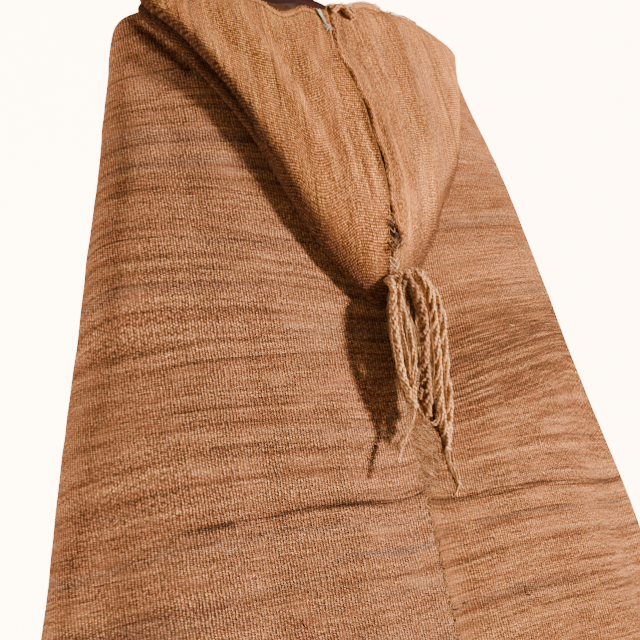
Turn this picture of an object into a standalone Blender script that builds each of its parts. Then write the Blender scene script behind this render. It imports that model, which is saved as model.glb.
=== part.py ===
"""A burnous: a sleeveless hooded cloak of hand-woven wool, hanging by its shoulders on a wooden hanger.

Metres, +Z up. The cloak's back faces +Y and its front -Y, and the wearer's left is +X. The origin is
the inner top of the hanger's hook, where a rail or a peg carries everything below it.

The cloak is two panels, each cut in one from the centre-back seam round the side to the front edge.
The hood is two panels sewn along its centre seam. It starts at the neck, turns down over the back as
an under layer, folds, and comes up again as the outer layer, which ends at the mouth.
"""

import math

import bmesh
import bpy
import numpy as np

# Sizes of the cloth, in metres
CLOTH = 0.0022                  # wall of the hand-woven wool
SEAM_GAP = 0.0003               # room between two pieces that a seam joins
NECK_STAND = 0.004              # upright cloth just below and above the neck seam
SHOULDER_Z = -0.190             # the cloak is clear of the hanger from here down
HEM_Z = -1.430                  # at the centre back
FRONT_GAP_TOP = 0.004           # half of the gap between the front edges, at the neck
FRONT_GAP_HEM = 0.030           # and at the hem
SIDE_DROP = 0.030               # how much lower the hem hangs at the sides

# The neck seam, which the hood's weight pulls down behind
# place round the cloak (degrees from the centre back), height
NECK_SEAM = (
    (0.0, -0.166),
    (15.0, -0.164),
    (25.0, -0.158),
    (35.0, -0.150),
    (45.0, -0.144),
    (60.0, -0.138),
    (75.0, -0.134),
    (90.0, -0.1325),
    (105.0, -0.134),
    (120.0, -0.138),
    (135.0, -0.142),
    (150.0, -0.148),
    (165.0, -0.153),
    (180.0, -0.155),
)

# How far the centre-back seam wanders to the wearer's left
# height, sideways
SEAM_WANDER = (
    (-0.120, -0.002),
    (-0.200, 0.000),
    (-0.400, 0.004),
    (-0.550, 0.007),
    (-0.700, 0.010),
    (-1.460, 0.012),
)

# The cloak's level sections from the neck to the hem
# height, half width, depth behind, depth in front, squareness
BODY_SECTIONS = (
    (-0.120, 0.092, 0.028, 0.026, 2.0),
    (-0.130, 0.122, 0.031, 0.029, 2.0),
    (-0.145, 0.170, 0.036, 0.033, 2.0),
    (-0.160, 0.214, 0.042, 0.037, 2.0),
    (-0.175, 0.240, 0.049, 0.042, 2.1),
    (-0.190, 0.249, 0.057, 0.047, 2.2),
    (-0.250, 0.261, 0.072, 0.058, 2.4),
    (-0.350, 0.279, 0.092, 0.070, 2.4),
    (-0.450, 0.300, 0.106, 0.080, 2.4),
    (-0.700, 0.353, 0.134, 0.094, 2.4),
    (-1.000, 0.416, 0.168, 0.112, 2.4),
    (-1.430, 0.507, 0.216, 0.136, 2.4),
)

# Soft upright folds of each half, from the centre back (0) round to the front edge (1)
# place, half width, rise, height where it starts, height where it is full
LEFT_FOLDS = (
    (0.135, 0.050, -0.014, -0.55, -1.43),
    (0.235, 0.060, 0.024, -0.42, -1.43),
    (0.345, 0.045, -0.022, -0.60, -1.43),
    (0.430, 0.050, 0.026, -0.50, -1.43),
    (0.540, 0.060, -0.020, -0.62, -1.43),
    (0.650, 0.055, 0.024, -0.45, -1.43),
    (0.760, 0.060, -0.018, -0.52, -1.43),
    (0.880, 0.050, 0.020, -0.40, -1.43),
)
RIGHT_FOLDS = (
    (0.360, 0.090, 0.011, -0.20, -0.38),
    (0.120, 0.055, -0.012, -0.60, -1.43),
    (0.215, 0.050, 0.018, -0.50, -1.43),
    (0.310, 0.050, -0.022, -0.44, -1.43),
    (0.390, 0.045, 0.026, -0.30, -1.43),
    (0.500, 0.055, -0.022, -0.50, -1.43),
    (0.605, 0.060, 0.022, -0.55, -1.43),
    (0.725, 0.055, -0.020, -0.45, -1.43),
    (0.850, 0.060, 0.022, -0.40, -1.43),
)

# Columns of the cloth from the centre back (0) round to the front edge (180). The hood has the same
# ones as far as HOOD_END, so that the two sides of the neck seam match.
COLUMNS = (
    (0, 4, 8, 12, 16, 20, 24, 28, 33, 38, 44, 50, 56, 62, 68, 74, 79, 84, 89, 94)
    + (100, 107, 115, 124, 133, 143, 153, 164, 172, 180)
)
HOOD_END = 164
PLUMB_TO = 50                   # the hood's columns up to this turn hang plumb behind
UPPER_END_Z = -0.340
UPPER_SHARES = (0.04, 0.09, 0.15, 0.21, 0.28, 0.37, 0.48, 0.62, 0.80, 1.0)
LOWER_ROWS = 15

# The hood from its centre seam out to the shoulder and round to the front. "out" is measured from
# the cloak under it.
# place on the shoulder section (degrees from centre back), height of the mouth, of the fold,
# out at the mouth, at the belly, low down, at the fold, how far the roll under the fold shows
HOOD_LEFT = (
    (0.0, -0.189, -0.558, 0.034, 0.044, 0.046, 0.012, 0.000),
    (4.5, -0.188, -0.554, 0.033, 0.042, 0.044, 0.013, 0.000),
    (8.5, -0.186, -0.536, 0.032, 0.041, 0.042, 0.015, 0.000),
    (12.0, -0.190, -0.518, 0.031, 0.040, 0.040, 0.016, 0.000),
    (16.5, -0.195, -0.490, 0.030, 0.038, 0.037, 0.018, 0.000),
    (19.7, -0.189, -0.465, 0.030, 0.037, 0.036, 0.019, 0.000),
    (22.6, -0.180, -0.441, 0.029, 0.035, 0.034, 0.020, 0.000),
    (27.6, -0.171, -0.389, 0.028, 0.033, 0.032, 0.022, 0.003),
    (32.6, -0.164, -0.334, 0.028, 0.031, 0.030, 0.024, 0.010),
    (37.5, -0.159, -0.294, 0.027, 0.029, 0.028, 0.024, 0.016),
    (43.7, -0.155, -0.256, 0.026, 0.027, 0.027, 0.024, 0.018),
    (50.7, -0.151, -0.219, 0.024, 0.025, 0.025, 0.022, 0.015),
    (58.5, -0.147, -0.192, 0.022, 0.023, 0.023, 0.020, 0.015),
    (68.0, -0.143, -0.171, 0.017, 0.018, 0.018, 0.0165, 0.007),
    (76.0, -0.141, -0.159, 0.013, 0.0135, 0.0135, 0.0125, 0.001),
    (90.0, -0.140, -0.153, 0.012, 0.0125, 0.0125, 0.0115, 0.000),
    (120.0, -0.144, -0.164, 0.012, 0.0125, 0.0125, 0.0115, 0.000),
    (164.0, -0.158, -0.190, 0.014, 0.0150, 0.0150, 0.0130, 0.000),
)
HOOD_RIGHT = (
    (0.0, -0.186, -0.558, 0.034, 0.044, 0.046, 0.012, 0.000),
    (5.5, -0.160, -0.545, 0.034, 0.043, 0.044, 0.014, 0.000),
    (11.5, -0.148, -0.513, 0.034, 0.043, 0.043, 0.018, 0.000),
    (14.1, -0.146, -0.497, 0.034, 0.043, 0.042, 0.020, 0.000),
    (17.2, -0.147, -0.479, 0.034, 0.042, 0.041, 0.024, 0.000),
    (22.5, -0.159, -0.439, 0.034, 0.042, 0.040, 0.026, 0.000),
    (26.3, -0.165, -0.419, 0.034, 0.041, 0.039, 0.028, 0.000),
    (32.0, -0.164, -0.385, 0.032, 0.039, 0.038, 0.030, 0.001),
    (38.0, -0.161, -0.335, 0.029, 0.035, 0.035, 0.029, 0.002),
    (44.0, -0.159, -0.280, 0.026, 0.030, 0.031, 0.027, 0.003),
    (51.0, -0.156, -0.228, 0.022, 0.024, 0.025, 0.022, 0.004),
    (59.0, -0.151, -0.194, 0.018, 0.020, 0.020, 0.018, 0.004),
    (68.0, -0.146, -0.173, 0.015, 0.017, 0.017, 0.0155, 0.003),
    (78.0, -0.143, -0.160, 0.013, 0.014, 0.014, 0.0130, 0.001),
    (90.0, -0.141, -0.154, 0.012, 0.0125, 0.0125, 0.0115, 0.000),
    (120.0, -0.144, -0.164, 0.012, 0.0125, 0.0125, 0.0115, 0.000),
    (164.0, -0.158, -0.190, 0.014, 0.0150, 0.0150, 0.0130, 0.000),
)
HOOD_STAND = 0.011              # how high the hood stands at the neck before it turns down
TURNED_TOP = ((-0.002, 0.001), (0.0, 0.0045), (-0.003, 0.0078))    # up from the stand's top, out
UNDER_OUT = 0.0050              # the under layer's distance from the cloak
UNDER_NECK_OUT = 0.0035         # how much more it is near the neck
UNDER_END = 0.008               # how far above the fold the under layer ends
ROLL_OUT = 0.0125               # the roll's distance from the cloak
ROLL_DEEP = 0.006               # how far the roll sags below the under layer
ROLL_FULL = 0.008               # from here up a roll has its full form
TUCK_UP = 0.010                 # how far the cloth tucks in above the fold, behind the outer layer
TUCK_OUT = 0.0145
TUCK_BACK = 0.004
FOLD_BACK = 0.0015
PLAIN_TURN = ((0.4, 0.35), (0.0, 1.0), (0.1, 1.3), (0.4, 1.65), (1.0, 1.95))    # up, out, in half gaps
OUTER_PLACES = (0.0, 0.3, 0.65, 1.0)    # fold, low down, belly, mouth
UNDER_SHARES = (0.1, 0.3, 0.5, 0.7, 0.88, 1.0)
OUTER_SHARES = (0.1, 0.2, 0.33, 0.46, 0.6, 0.74, 0.88, 1.0)

# The hanger and its hook
WOOD_TOP_Z = -0.0945            # at the middle
WOOD_SLOPE = math.tan(math.radians(18.4))
WOOD_HALF_LENGTH = 0.214
WOOD_THICK = 0.014
WOOD_HEIGHT_MIDDLE = 0.030
WOOD_HEIGHT_END = 0.016
WOOD_PEAK_ROUND = 0.012
WOOD_SIDES = 12
WOOD_SQUARE = (0.6, 0.75)       # how square the section is, across and up; 1 is an oval
WOOD_SHARES = (0.0, 0.06, 0.12, 0.22, 0.36, 0.50, 0.64, 0.78, 0.90, 0.955)
WOOD_END_ROUND = ((1.0, 0.45), (0.992, 0.75), (0.978, 0.93))    # share of the length, of the section
WIRE_RADIUS = 0.0018
WIRE_SIDES = 10
HOOK_RADIUS = 0.019             # of the wire's centre line
HOOK_BEND_Z = -0.052            # where the shank bends to the side
HOOK_BEND = ((0.0, -0.006), (0.0015, 0.0), (0.0065, 0.008))    # sideways, up from there
HOOK_TURNS = (-50, 211, 20)     # degrees round the hook: from, to, step
HOOK_SET_IN = 0.014             # how deep the wire sits in the wood
HOOK_CLEARANCE = 0.0003
DRILL_DEEPER = 0.001
DRILL_SIDES = 16

# The knotted bar of wool at the hood's tip, and the cords that hang from it: radius, then points
KNOT_PATH = (
    (0.017, 0.1425, -0.534), (0.013, 0.1445, -0.529), (0.002, 0.1465, -0.525),
    (-0.012, 0.1470, -0.523), (-0.023, 0.1470, -0.524), (-0.027, 0.1460, -0.529),
)
KNOT_RADII = (0.003, 0.0055, 0.0060, 0.0060, 0.0055, 0.003)
KNOT_SIDES = 8
CORD_SIDES = 4
TIP_CORDS = (
    (0.0038, (0.014, 0.146, -0.530), (0.021, 0.155, -0.547), (0.027, 0.158, -0.580),
     (0.028, 0.159, -0.612), (0.028, 0.158, -0.638), (0.024, 0.158, -0.661), (0.021, 0.159, -0.673)),
    (0.0024, (0.021, 0.159, -0.671), (0.027, 0.159, -0.684), (0.036, 0.157, -0.698),
     (0.045, 0.157, -0.711), (0.052, 0.157, -0.725)),
    (0.0028, (0.009, 0.147, -0.528), (0.013, 0.156, -0.545), (0.015, 0.160, -0.564),
     (0.010, 0.161, -0.593), (0.010, 0.160, -0.620), (0.018, 0.160, -0.648), (0.021, 0.159, -0.673)),
    (0.0050, (-0.003, 0.148, -0.526), (-0.004, 0.158, -0.544), (-0.009, 0.161, -0.568),
     (-0.010, 0.161, -0.590), (-0.004, 0.160, -0.621), (0.001, 0.160, -0.652), (0.008, 0.159, -0.683)),
    (0.0020, (0.007, 0.159, -0.681), (0.014, 0.159, -0.688), (0.012, 0.159, -0.696),
     (0.002, 0.159, -0.699), (-0.003, 0.159, -0.690), (0.005, 0.160, -0.676)),
    (0.0045, (-0.018, 0.148, -0.525), (-0.024, 0.157, -0.543), (-0.025, 0.160, -0.572),
     (-0.024, 0.160, -0.597), (-0.022, 0.159, -0.629), (-0.020, 0.159, -0.661),
     (-0.022, 0.159, -0.697), (-0.023, 0.159, -0.712)),
    (0.0020, (-0.022, 0.159, -0.708), (-0.026, 0.158, -0.729), (-0.028, 0.158, -0.753),
     (-0.021, 0.158, -0.768)),
    (0.0042, (-0.022, 0.148, -0.526), (-0.031, 0.157, -0.545), (-0.037, 0.162, -0.575),
     (-0.034, 0.163, -0.607), (-0.032, 0.162, -0.643), (-0.034, 0.161, -0.663),
     (-0.028, 0.161, -0.695), (-0.019, 0.160, -0.720)),
)


def clear_scene():
    for old in list(bpy.data.objects):
        bpy.data.objects.remove(old, do_unlink=True)


def make_material(name, colour, roughness, metallic=0.0):
    material = bpy.data.materials.new(name)
    material.use_nodes = True
    shader = material.node_tree.nodes["Principled BSDF"]
    shader.inputs["Base Color"].default_value = (*colour, 1.0)
    shader.inputs["Roughness"].default_value = roughness
    shader.inputs["Metallic"].default_value = metallic
    return material


def smooth_curve(places, values):
    """A smooth curve through the rows of a table, which never swings past them."""
    places = np.asarray(places, float)
    values = np.asarray(values, float)
    steps = np.diff(places)
    slopes = np.diff(values) / steps
    tangents = np.empty_like(values)
    tangents[0] = slopes[0]
    tangents[-1] = slopes[-1]
    for i in range(1, len(values) - 1):
        before, after = slopes[i - 1], slopes[i]
        level = before * after <= 0
        tangents[i] = 0.0 if level else 2 * before * after / (before + after)

    def value(place):
        place = min(max(place, places[0]), places[-1])
        i = min(int(np.searchsorted(places, place, side="right")) - 1, len(steps) - 1)
        t = (place - places[i]) / steps[i]
        start = (1 + 2 * t) * (1 - t) ** 2 * values[i] + t * (1 - t) ** 2 * tangents[i] * steps[i]
        end = t * t * (3 - 2 * t) * values[i + 1] + t * t * (t - 1) * tangents[i + 1] * steps[i]
        return start + end

    return value


def ease(t):
    t = min(max(t, 0.0), 1.0)
    return t * t * (3 - 2 * t)


depths = [-row[0] for row in BODY_SECTIONS]
half_width = smooth_curve(depths, [row[1] for row in BODY_SECTIONS])
depth_behind = smooth_curve(depths, [row[2] for row in BODY_SECTIONS])
depth_in_front = smooth_curve(depths, [row[3] for row in BODY_SECTIONS])
squareness = smooth_curve(depths, [row[4] for row in BODY_SECTIONS])


neck_seam = smooth_curve([row[0] for row in NECK_SEAM], [row[1] for row in NECK_SEAM])
seam_wander = smooth_curve([-row[0] for row in SEAM_WANDER], [row[1] for row in SEAM_WANDER])


def body_point(turn, height):
    """A point of the left half's cloth: turn is 0 at the centre back, 90 at the side, 180 in front."""
    z = min(height, neck_seam(turn) - NECK_STAND)
    angle = math.radians(turn)
    across = math.sin(angle)
    depth = depth_behind(-z) if turn <= 90 else depth_in_front(-z)
    y = depth * math.sqrt(max(0.0, 1 - abs(across) ** squareness(-z)))
    return np.array((half_width(-z) * across, y if turn <= 90 else -y, height))


def body_normal(turn, z, step=0.002):
    """Straight out of the cloth at that point."""
    before, after = max(turn - 1.0, 0.0), min(turn + 1.0, 180.0)
    round_step = body_point(after, z) - body_point(before, z)
    if turn < 1:
        round_step = np.array((1.0, 0.0, 0.0))
    down_step = body_point(turn, z - step) - body_point(turn, z + step)
    normal = np.cross(round_step, down_step)
    return normal / np.linalg.norm(normal)


def fold_rise(folds, turn, z):
    """How far the soft folds lift the cloth at that point."""
    place = turn / 180
    rise = 0.0
    for centre, width, height, start, full in folds:
        growth = ease((start - z) / (start - full))
        rise += height * growth * math.exp(-(((place - centre) / width) ** 2))
    return rise


def placed(column, z):
    """The turn of a column at that height, short of 180 in front by half of the gap there."""
    down = max((z - UPPER_END_Z) / (HEM_Z - UPPER_END_Z), 0.0)
    gap = FRONT_GAP_TOP + (FRONT_GAP_HEM - FRONT_GAP_TOP) * down
    return column * (1 - math.asin(gap / half_width(-z)) / math.pi)


def body_rows(column):
    """Heights of one column's points, close together where the shoulder turns."""
    top = neck_seam(column)
    upper = [top, top - NECK_STAND]
    upper += [top - NECK_STAND + (UPPER_END_Z - top + NECK_STAND) * share for share in UPPER_SHARES]
    return upper + list(np.linspace(UPPER_END_Z, HEM_Z, LOWER_ROWS + 1)[1:])


def body_grid(folds):
    columns = []
    for place in COLUMNS:
        column = []
        for z in body_rows(place):
            turn = placed(place, z)
            down = ease((z - UPPER_END_Z) / (HEM_Z - UPPER_END_Z))
            drop = SIDE_DROP * down * math.sin(math.radians(turn)) ** 2
            point = body_point(turn, z) + body_normal(turn, z) * fold_rise(folds, turn, z)
            column.append(point - np.array((0, 0, drop)))
        columns.append(column)
    return seam_edge(np.array(columns).transpose(1, 0, 2))


def seam_edge(grid):
    """Sets the first column half a seam gap off the middle."""
    grid[:, 0, 0] = SEAM_GAP / 2
    return grid


def wandered(point, side):
    """The point on its own side of the cloak, moved over by what the seams wander there."""
    x, y, z = point
    middle = 1 - min(abs(x) / half_width(-z), 1.0) ** 2
    return (side * x + seam_wander(-z) * middle, y, z)


def half_walls(grid):
    """Half a wall straight out of the cloth at each point: level at the neck, and level with the seam."""
    along = np.gradient(grid, axis=1)
    down = np.gradient(grid, axis=0)
    normals = np.cross(along, down)
    normals[0] = np.cross(along[0], np.array((0.0, 0.0, -1.0)))
    normals[:, 0, 0] = 0.0
    return normals / np.linalg.norm(normals, axis=2, keepdims=True) * CLOTH / 2


def mesh_object(name, points, faces, material):
    mesh = bpy.data.meshes.new(name)
    mesh.from_pydata(points, [], faces)
    mesh.shade_smooth()
    mesh.materials.append(material)
    made = bpy.data.objects.new(name, mesh)
    bpy.context.scene.collection.objects.link(made)
    return made


def sheet_object(name, grid, side, material):
    """A cloth wall on a grid of points; side is 1 on the wearer's left and -1 on the right."""
    rows, columns = grid.shape[:2]
    walls = half_walls(grid)
    count = rows * columns
    points = [wandered(p, side) for p in np.concatenate([grid + walls, grid - walls]).reshape(-1, 3)]
    faces = []
    for r in range(rows - 1):
        for c in range(columns - 1):
            first = r * columns + c
            face = (first, first + 1, first + columns + 1, first + columns)
            faces.append(face)
            faces.append(tuple(count + k for k in face[::-1]))
    rim = [(0, c) for c in range(columns)]
    rim += [(r, columns - 1) for r in range(1, rows)]
    rim += [(rows - 1, c) for c in range(columns - 2, -1, -1)]
    rim += [(r, 0) for r in range(rows - 2, 0, -1)]
    ring = [r * columns + c for r, c in rim]
    for here, after in zip(ring, ring[1:] + ring[:1]):
        faces.append((here, count + here, count + after, after))
    if side < 0:
        faces = [face[::-1] for face in faces]
    return mesh_object(name, points, faces, material)


def hood_turn(turn, z):
    """The place round the cloak of a hood column, which hangs plumb behind and not along the flare."""
    if z >= SHOULDER_Z or turn >= 90:
        return turn
    plumb = 1 - ease((turn - PLUMB_TO) / (90 - PLUMB_TO))
    narrowing = (half_width(-SHOULDER_Z) / half_width(-z)) ** plumb
    return math.degrees(math.asin(math.sin(math.radians(turn)) * narrowing))


def hood_point(turn, z, out):
    there = hood_turn(turn, z)
    return body_point(there, z) + body_normal(there, z) * out


def hood_section(column, row):
    """Heights and distances out from the cloak, from the neck seam to the mouth."""
    mouth, fold, mouth_out, belly_out, low_out, fold_out, roll = row
    seam = neck_seam(column) + SEAM_GAP
    path = [(seam, 0.0), (seam + NECK_STAND, 0.0)]
    path += [(seam + HOOD_STAND + up, out) for up, out in TURNED_TOP]
    under_low = fold + UNDER_END - roll
    for share in UNDER_SHARES:
        nearer = UNDER_NECK_OUT * (1 - share) ** 2
        path.append((seam + (under_low - seam) * share, UNDER_OUT + nearer))
    rolled = (
        (under_low - ROLL_DEEP, (UNDER_OUT + ROLL_OUT) / 2),
        (under_low, ROLL_OUT),
        (fold + TUCK_UP, TUCK_OUT),
        (fold + TUCK_UP, fold_out - TUCK_BACK),
        (fold, fold_out - FOLD_BACK),
    )
    half = (fold_out - UNDER_OUT) / 2
    plain = [(fold + half * up, UNDER_OUT + half * out) for up, out in PLAIN_TURN]
    share = ease(roll / ROLL_FULL)
    for (z, out), (plain_z, plain_out) in zip(rolled, plain):
        path.append((plain_z + (z - plain_z) * share, plain_out + (out - plain_out) * share))
    outer = smooth_curve(OUTER_PLACES, (fold_out, low_out, belly_out, mouth_out))
    for share in OUTER_SHARES:
        path.append((fold + (mouth - fold) * share, outer(share)))
    return path


def hood_grid(table):
    turns = [row[0] for row in table]
    curves = [smooth_curve(turns, [row[k] for row in table]) for k in range(1, 8)]
    columns = []
    for place in COLUMNS:
        if place > HOOD_END:
            break
        section = hood_section(place, [curve(place) for curve in curves])
        columns.append([hood_point(placed(place, z), z, out) for z, out in section])
    return seam_edge(np.array(columns).transpose(1, 0, 2))


def tube(points, radii, sides):
    """Corners and faces of a closed tube along a path; it points the same way round all along."""
    path = np.array(points, float)
    steps = np.gradient(path, axis=0)
    corners = []
    across = np.array((0.0, 1.0, 0.0))
    for point, step, radius in zip(path, steps, radii):
        step = step / np.linalg.norm(step)
        across = across - step * across.dot(step)
        across /= np.linalg.norm(across)
        other = np.cross(step, across)
        for k in range(sides):
            angle = 2 * math.pi * k / sides
            corners.append(point + (across * math.cos(angle) + other * math.sin(angle)) * radius)
    faces = [tuple(range(sides))[::-1]]
    for r in range(len(path) - 1):
        for k in range(sides):
            first, after = r * sides + k, r * sides + (k + 1) % sides
            faces.append((first, after, after + sides, first + sides))
    faces.append(tuple(range((len(path) - 1) * sides, len(path) * sides)))
    return [tuple(corner) for corner in corners], faces


def wood_section(x, shrink):
    """One upright ring of the hanger's arm; shrink rounds off its ends."""
    reach = math.sqrt(x * x + WOOD_PEAK_ROUND ** 2) - WOOD_PEAK_ROUND
    share = abs(x) / WOOD_HALF_LENGTH
    height = WOOD_HEIGHT_MIDDLE + (WOOD_HEIGHT_END - WOOD_HEIGHT_MIDDLE) * share
    middle = WOOD_TOP_Z - WOOD_SLOPE * reach - height / 2
    ring = []
    for k in range(WOOD_SIDES):
        angle = 2 * math.pi * (k + 0.5) / WOOD_SIDES
        across, up = math.cos(angle), math.sin(angle)
        y = math.copysign(abs(across) ** WOOD_SQUARE[0], across) * WOOD_THICK / 2 * shrink
        z = math.copysign(abs(up) ** WOOD_SQUARE[1], up) * height / 2 * shrink
        ring.append((x, y, middle + z))
    return ring


def hanger_wood(material):
    """A plain arm bent down to both shoulders, drilled from above for the hook."""
    rings = []
    for share, shrink in WOOD_END_ROUND:
        rings.append((-WOOD_HALF_LENGTH * share, shrink))
    places = [share * WOOD_HALF_LENGTH for share in WOOD_SHARES]
    rings += [(-x, 1.0) for x in places[::-1]] + [(x, 1.0) for x in places[1:]]
    rings += [(-x, shrink) for x, shrink in rings[:len(WOOD_END_ROUND)][::-1]]
    points = [point for x, shrink in rings for point in wood_section(x, shrink)]
    faces = [tuple(range(WOOD_SIDES))]
    for r in range(len(rings) - 1):
        for k in range(WOOD_SIDES):
            first, after = r * WOOD_SIDES + k, r * WOOD_SIDES + (k + 1) % WOOD_SIDES
            faces.append((first, first + WOOD_SIDES, after + WOOD_SIDES, after))
    faces.append(tuple(range((len(rings) - 1) * WOOD_SIDES, len(rings) * WOOD_SIDES))[::-1])
    faces = [face[::-1] for face in faces]
    wood = mesh_object("hanger_wood", points, faces, material)
    drill_path = ((0, 0, WOOD_TOP_Z - HOOK_SET_IN - DRILL_DEEPER), (0, 0, WOOD_TOP_Z + HOOK_SET_IN))
    corners, sides = tube(drill_path, [WIRE_RADIUS + HOOK_CLEARANCE] * 2, DRILL_SIDES)
    drill = mesh_object("drill", corners, sides, material)
    drill.hide_render = True
    drill.display_type = "WIRE"
    hole = wood.modifiers.new("hook hole", "BOOLEAN")
    hole.operation = "DIFFERENCE"
    hole.solver = "EXACT"
    hole.object = drill


def hanger_hook(material):
    """Bent steel wire: a straight shank, a bend to one side and a round hook over the rail."""
    centre = WIRE_RADIUS - HOOK_RADIUS
    path = [(0, 0, WOOD_TOP_Z - HOOK_SET_IN), (0, 0, WOOD_TOP_Z)]
    path += [(x, 0, HOOK_BEND_Z + up) for x, up in HOOK_BEND]
    for turn in range(*HOOK_TURNS):
        angle = math.radians(turn)
        path.append((HOOK_RADIUS * math.cos(angle), 0, centre + HOOK_RADIUS * math.sin(angle)))
    corners, faces = tube(path, [WIRE_RADIUS] * len(path), WIRE_SIDES)
    mesh_object("hanger_hook", corners, faces, material)


def tip_cords(material):
    """The cords of the hood's tip: strands that join a small knot."""
    corners, faces = tube(KNOT_PATH, KNOT_RADII, KNOT_SIDES)
    knot = mesh_object("tip_cords", corners, faces, material)
    for k, (radius, *path) in enumerate(TIP_CORDS):
        corners, faces = tube(path, [radius] * len(path), CORD_SIDES)
        strand = mesh_object(f"strand_{k}", corners, faces, material)
        strand.hide_render = True
        strand.display_type = "WIRE"
        join = knot.modifiers.new(f"join {k}", "BOOLEAN")
        join.operation = "UNION"
        join.solver = "EXACT"
        join.object = strand


def main():
    clear_scene()
    body_wool = make_material("body_wool", (0.36, 0.20, 0.11), 0.95)
    hood_wool = make_material("hood_wool", (0.47, 0.28, 0.16), 0.95)
    sheet_object("body_left", body_grid(LEFT_FOLDS), 1, body_wool)
    sheet_object("body_right", body_grid(RIGHT_FOLDS), -1, body_wool)
    sheet_object("hood_left", hood_grid(HOOD_LEFT), 1, hood_wool)
    sheet_object("hood_right", hood_grid(HOOD_RIGHT), -1, hood_wool)
    tip_cords(make_material("cord_wool", (0.62, 0.48, 0.33), 0.95))
    hanger_wood(make_material("hanger_wood", (0.09, 0.03, 0.02), 0.35))
    hanger_hook(make_material("hook_steel", (0.62, 0.62, 0.60), 0.30, 1.0))


main()
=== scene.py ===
# %% [markdown]
# # A burnous on its hanger
#
# A burnous is a wide sleeveless cloak of hand-woven wool with a pointed hood. This one hangs on a
# wooden hanger with its hood turned down over the back.

# %% Bring in the frame
import math

import bpy
import numpy as np
from mathutils import Matrix, Vector


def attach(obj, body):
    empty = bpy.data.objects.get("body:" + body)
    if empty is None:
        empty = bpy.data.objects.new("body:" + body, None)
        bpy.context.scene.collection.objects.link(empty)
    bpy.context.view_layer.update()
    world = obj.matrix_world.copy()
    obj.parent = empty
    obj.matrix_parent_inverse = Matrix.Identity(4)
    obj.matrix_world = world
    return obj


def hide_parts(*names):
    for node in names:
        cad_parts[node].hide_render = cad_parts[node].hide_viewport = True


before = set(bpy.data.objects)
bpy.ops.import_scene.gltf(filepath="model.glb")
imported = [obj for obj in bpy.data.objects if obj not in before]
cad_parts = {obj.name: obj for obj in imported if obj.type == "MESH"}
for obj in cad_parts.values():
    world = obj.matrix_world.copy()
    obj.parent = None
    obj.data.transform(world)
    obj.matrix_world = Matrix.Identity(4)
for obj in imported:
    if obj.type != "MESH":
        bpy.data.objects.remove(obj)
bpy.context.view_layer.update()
print("solids:", ", ".join(sorted(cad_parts)))

# %% [markdown]
# ## The form of the hanging cloth
#
# Hanging cloth is easiest to describe in level sections: how wide and how deep the cloak is at each
# height. A short table gives those sizes, and a curve that never swings past its rows joins them.
# Modelling by hand would be quicker to start, but a table keeps every size where it can be changed.
# All lengths are in metres, and heights are measured from the hook that the hanger hangs by.

# %% Smooth curves through short tables
CLOTH = 0.0022                      # how thick the wool is
SEAM_GAP = 0.0003                   # between two pieces where they are sewn together
SEWN_CLOSE = 0.00004                # each half of the cloak from the middle of its seam
NECK_STAND = 0.004                  # the cloth stands up this far at the neck seam
SHOULDER_Z = -0.190
UPPER_END_Z = -0.340                # above this the mesh has closer rows
HEM_Z = -1.430
FRONT_GAP_TOP = 0.004               # each front edge from the middle, at the top and at the hem
FRONT_GAP_HEM = 0.030
SIDE_DROP = 0.030                   # how much lower the hem hangs at the sides
PLUMB_TO = 50                       # degrees from the centre back within which the hood hangs plumb
FAR_OFF = 9.0                       # a place that no crease or fading reaches


def smooth_curve(places, values):
    """A curve through the rows of a table, which takes and gives arrays."""
    places, values = np.asarray(places, float), np.asarray(values, float)
    steps = np.diff(places)
    slopes = np.diff(values) / steps
    tangents = np.concatenate([slopes[:1], slopes[1:], slopes[-1:]])
    before, after = slopes[:-1], slopes[1:]
    same = before * after > 0
    tangents[1:-1] = np.where(same, 2 * before * after / np.where(same, before + after, 1), 0)

    def value(place):
        place = np.clip(place, places[0], places[-1])
        i = np.clip(np.searchsorted(places, place, side="right") - 1, 0, len(steps) - 1)
        t = (place - places[i]) / steps[i]
        start = (1 + 2 * t) * (1 - t) ** 2 * values[i] + t * (1 - t) ** 2 * tangents[i] * steps[i]
        end = t * t * (3 - 2 * t) * values[i + 1] + t * t * (t - 1) * tangents[i + 1] * steps[i]
        return start + end

    return value


def ease(t):
    """0 up to 0, 1 from 1 on, and smooth in between."""
    t = np.clip(t, 0.0, 1.0)
    return t * t * (3 - 2 * t)


def bump(distance, half):
    """1 at no distance and soon 0 beyond the half width."""
    return np.exp(-((distance / half) ** 2))


print("from the shoulder to the hem:", round(SHOULDER_Z - HEM_Z, 3), "m")

# %% [markdown]
# Now the cloak itself: its neck seam, the seam down its back, which does not hang quite straight, and
# its level sections. A squareness of 2 is an ellipse, and more makes the sides fuller.

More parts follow.
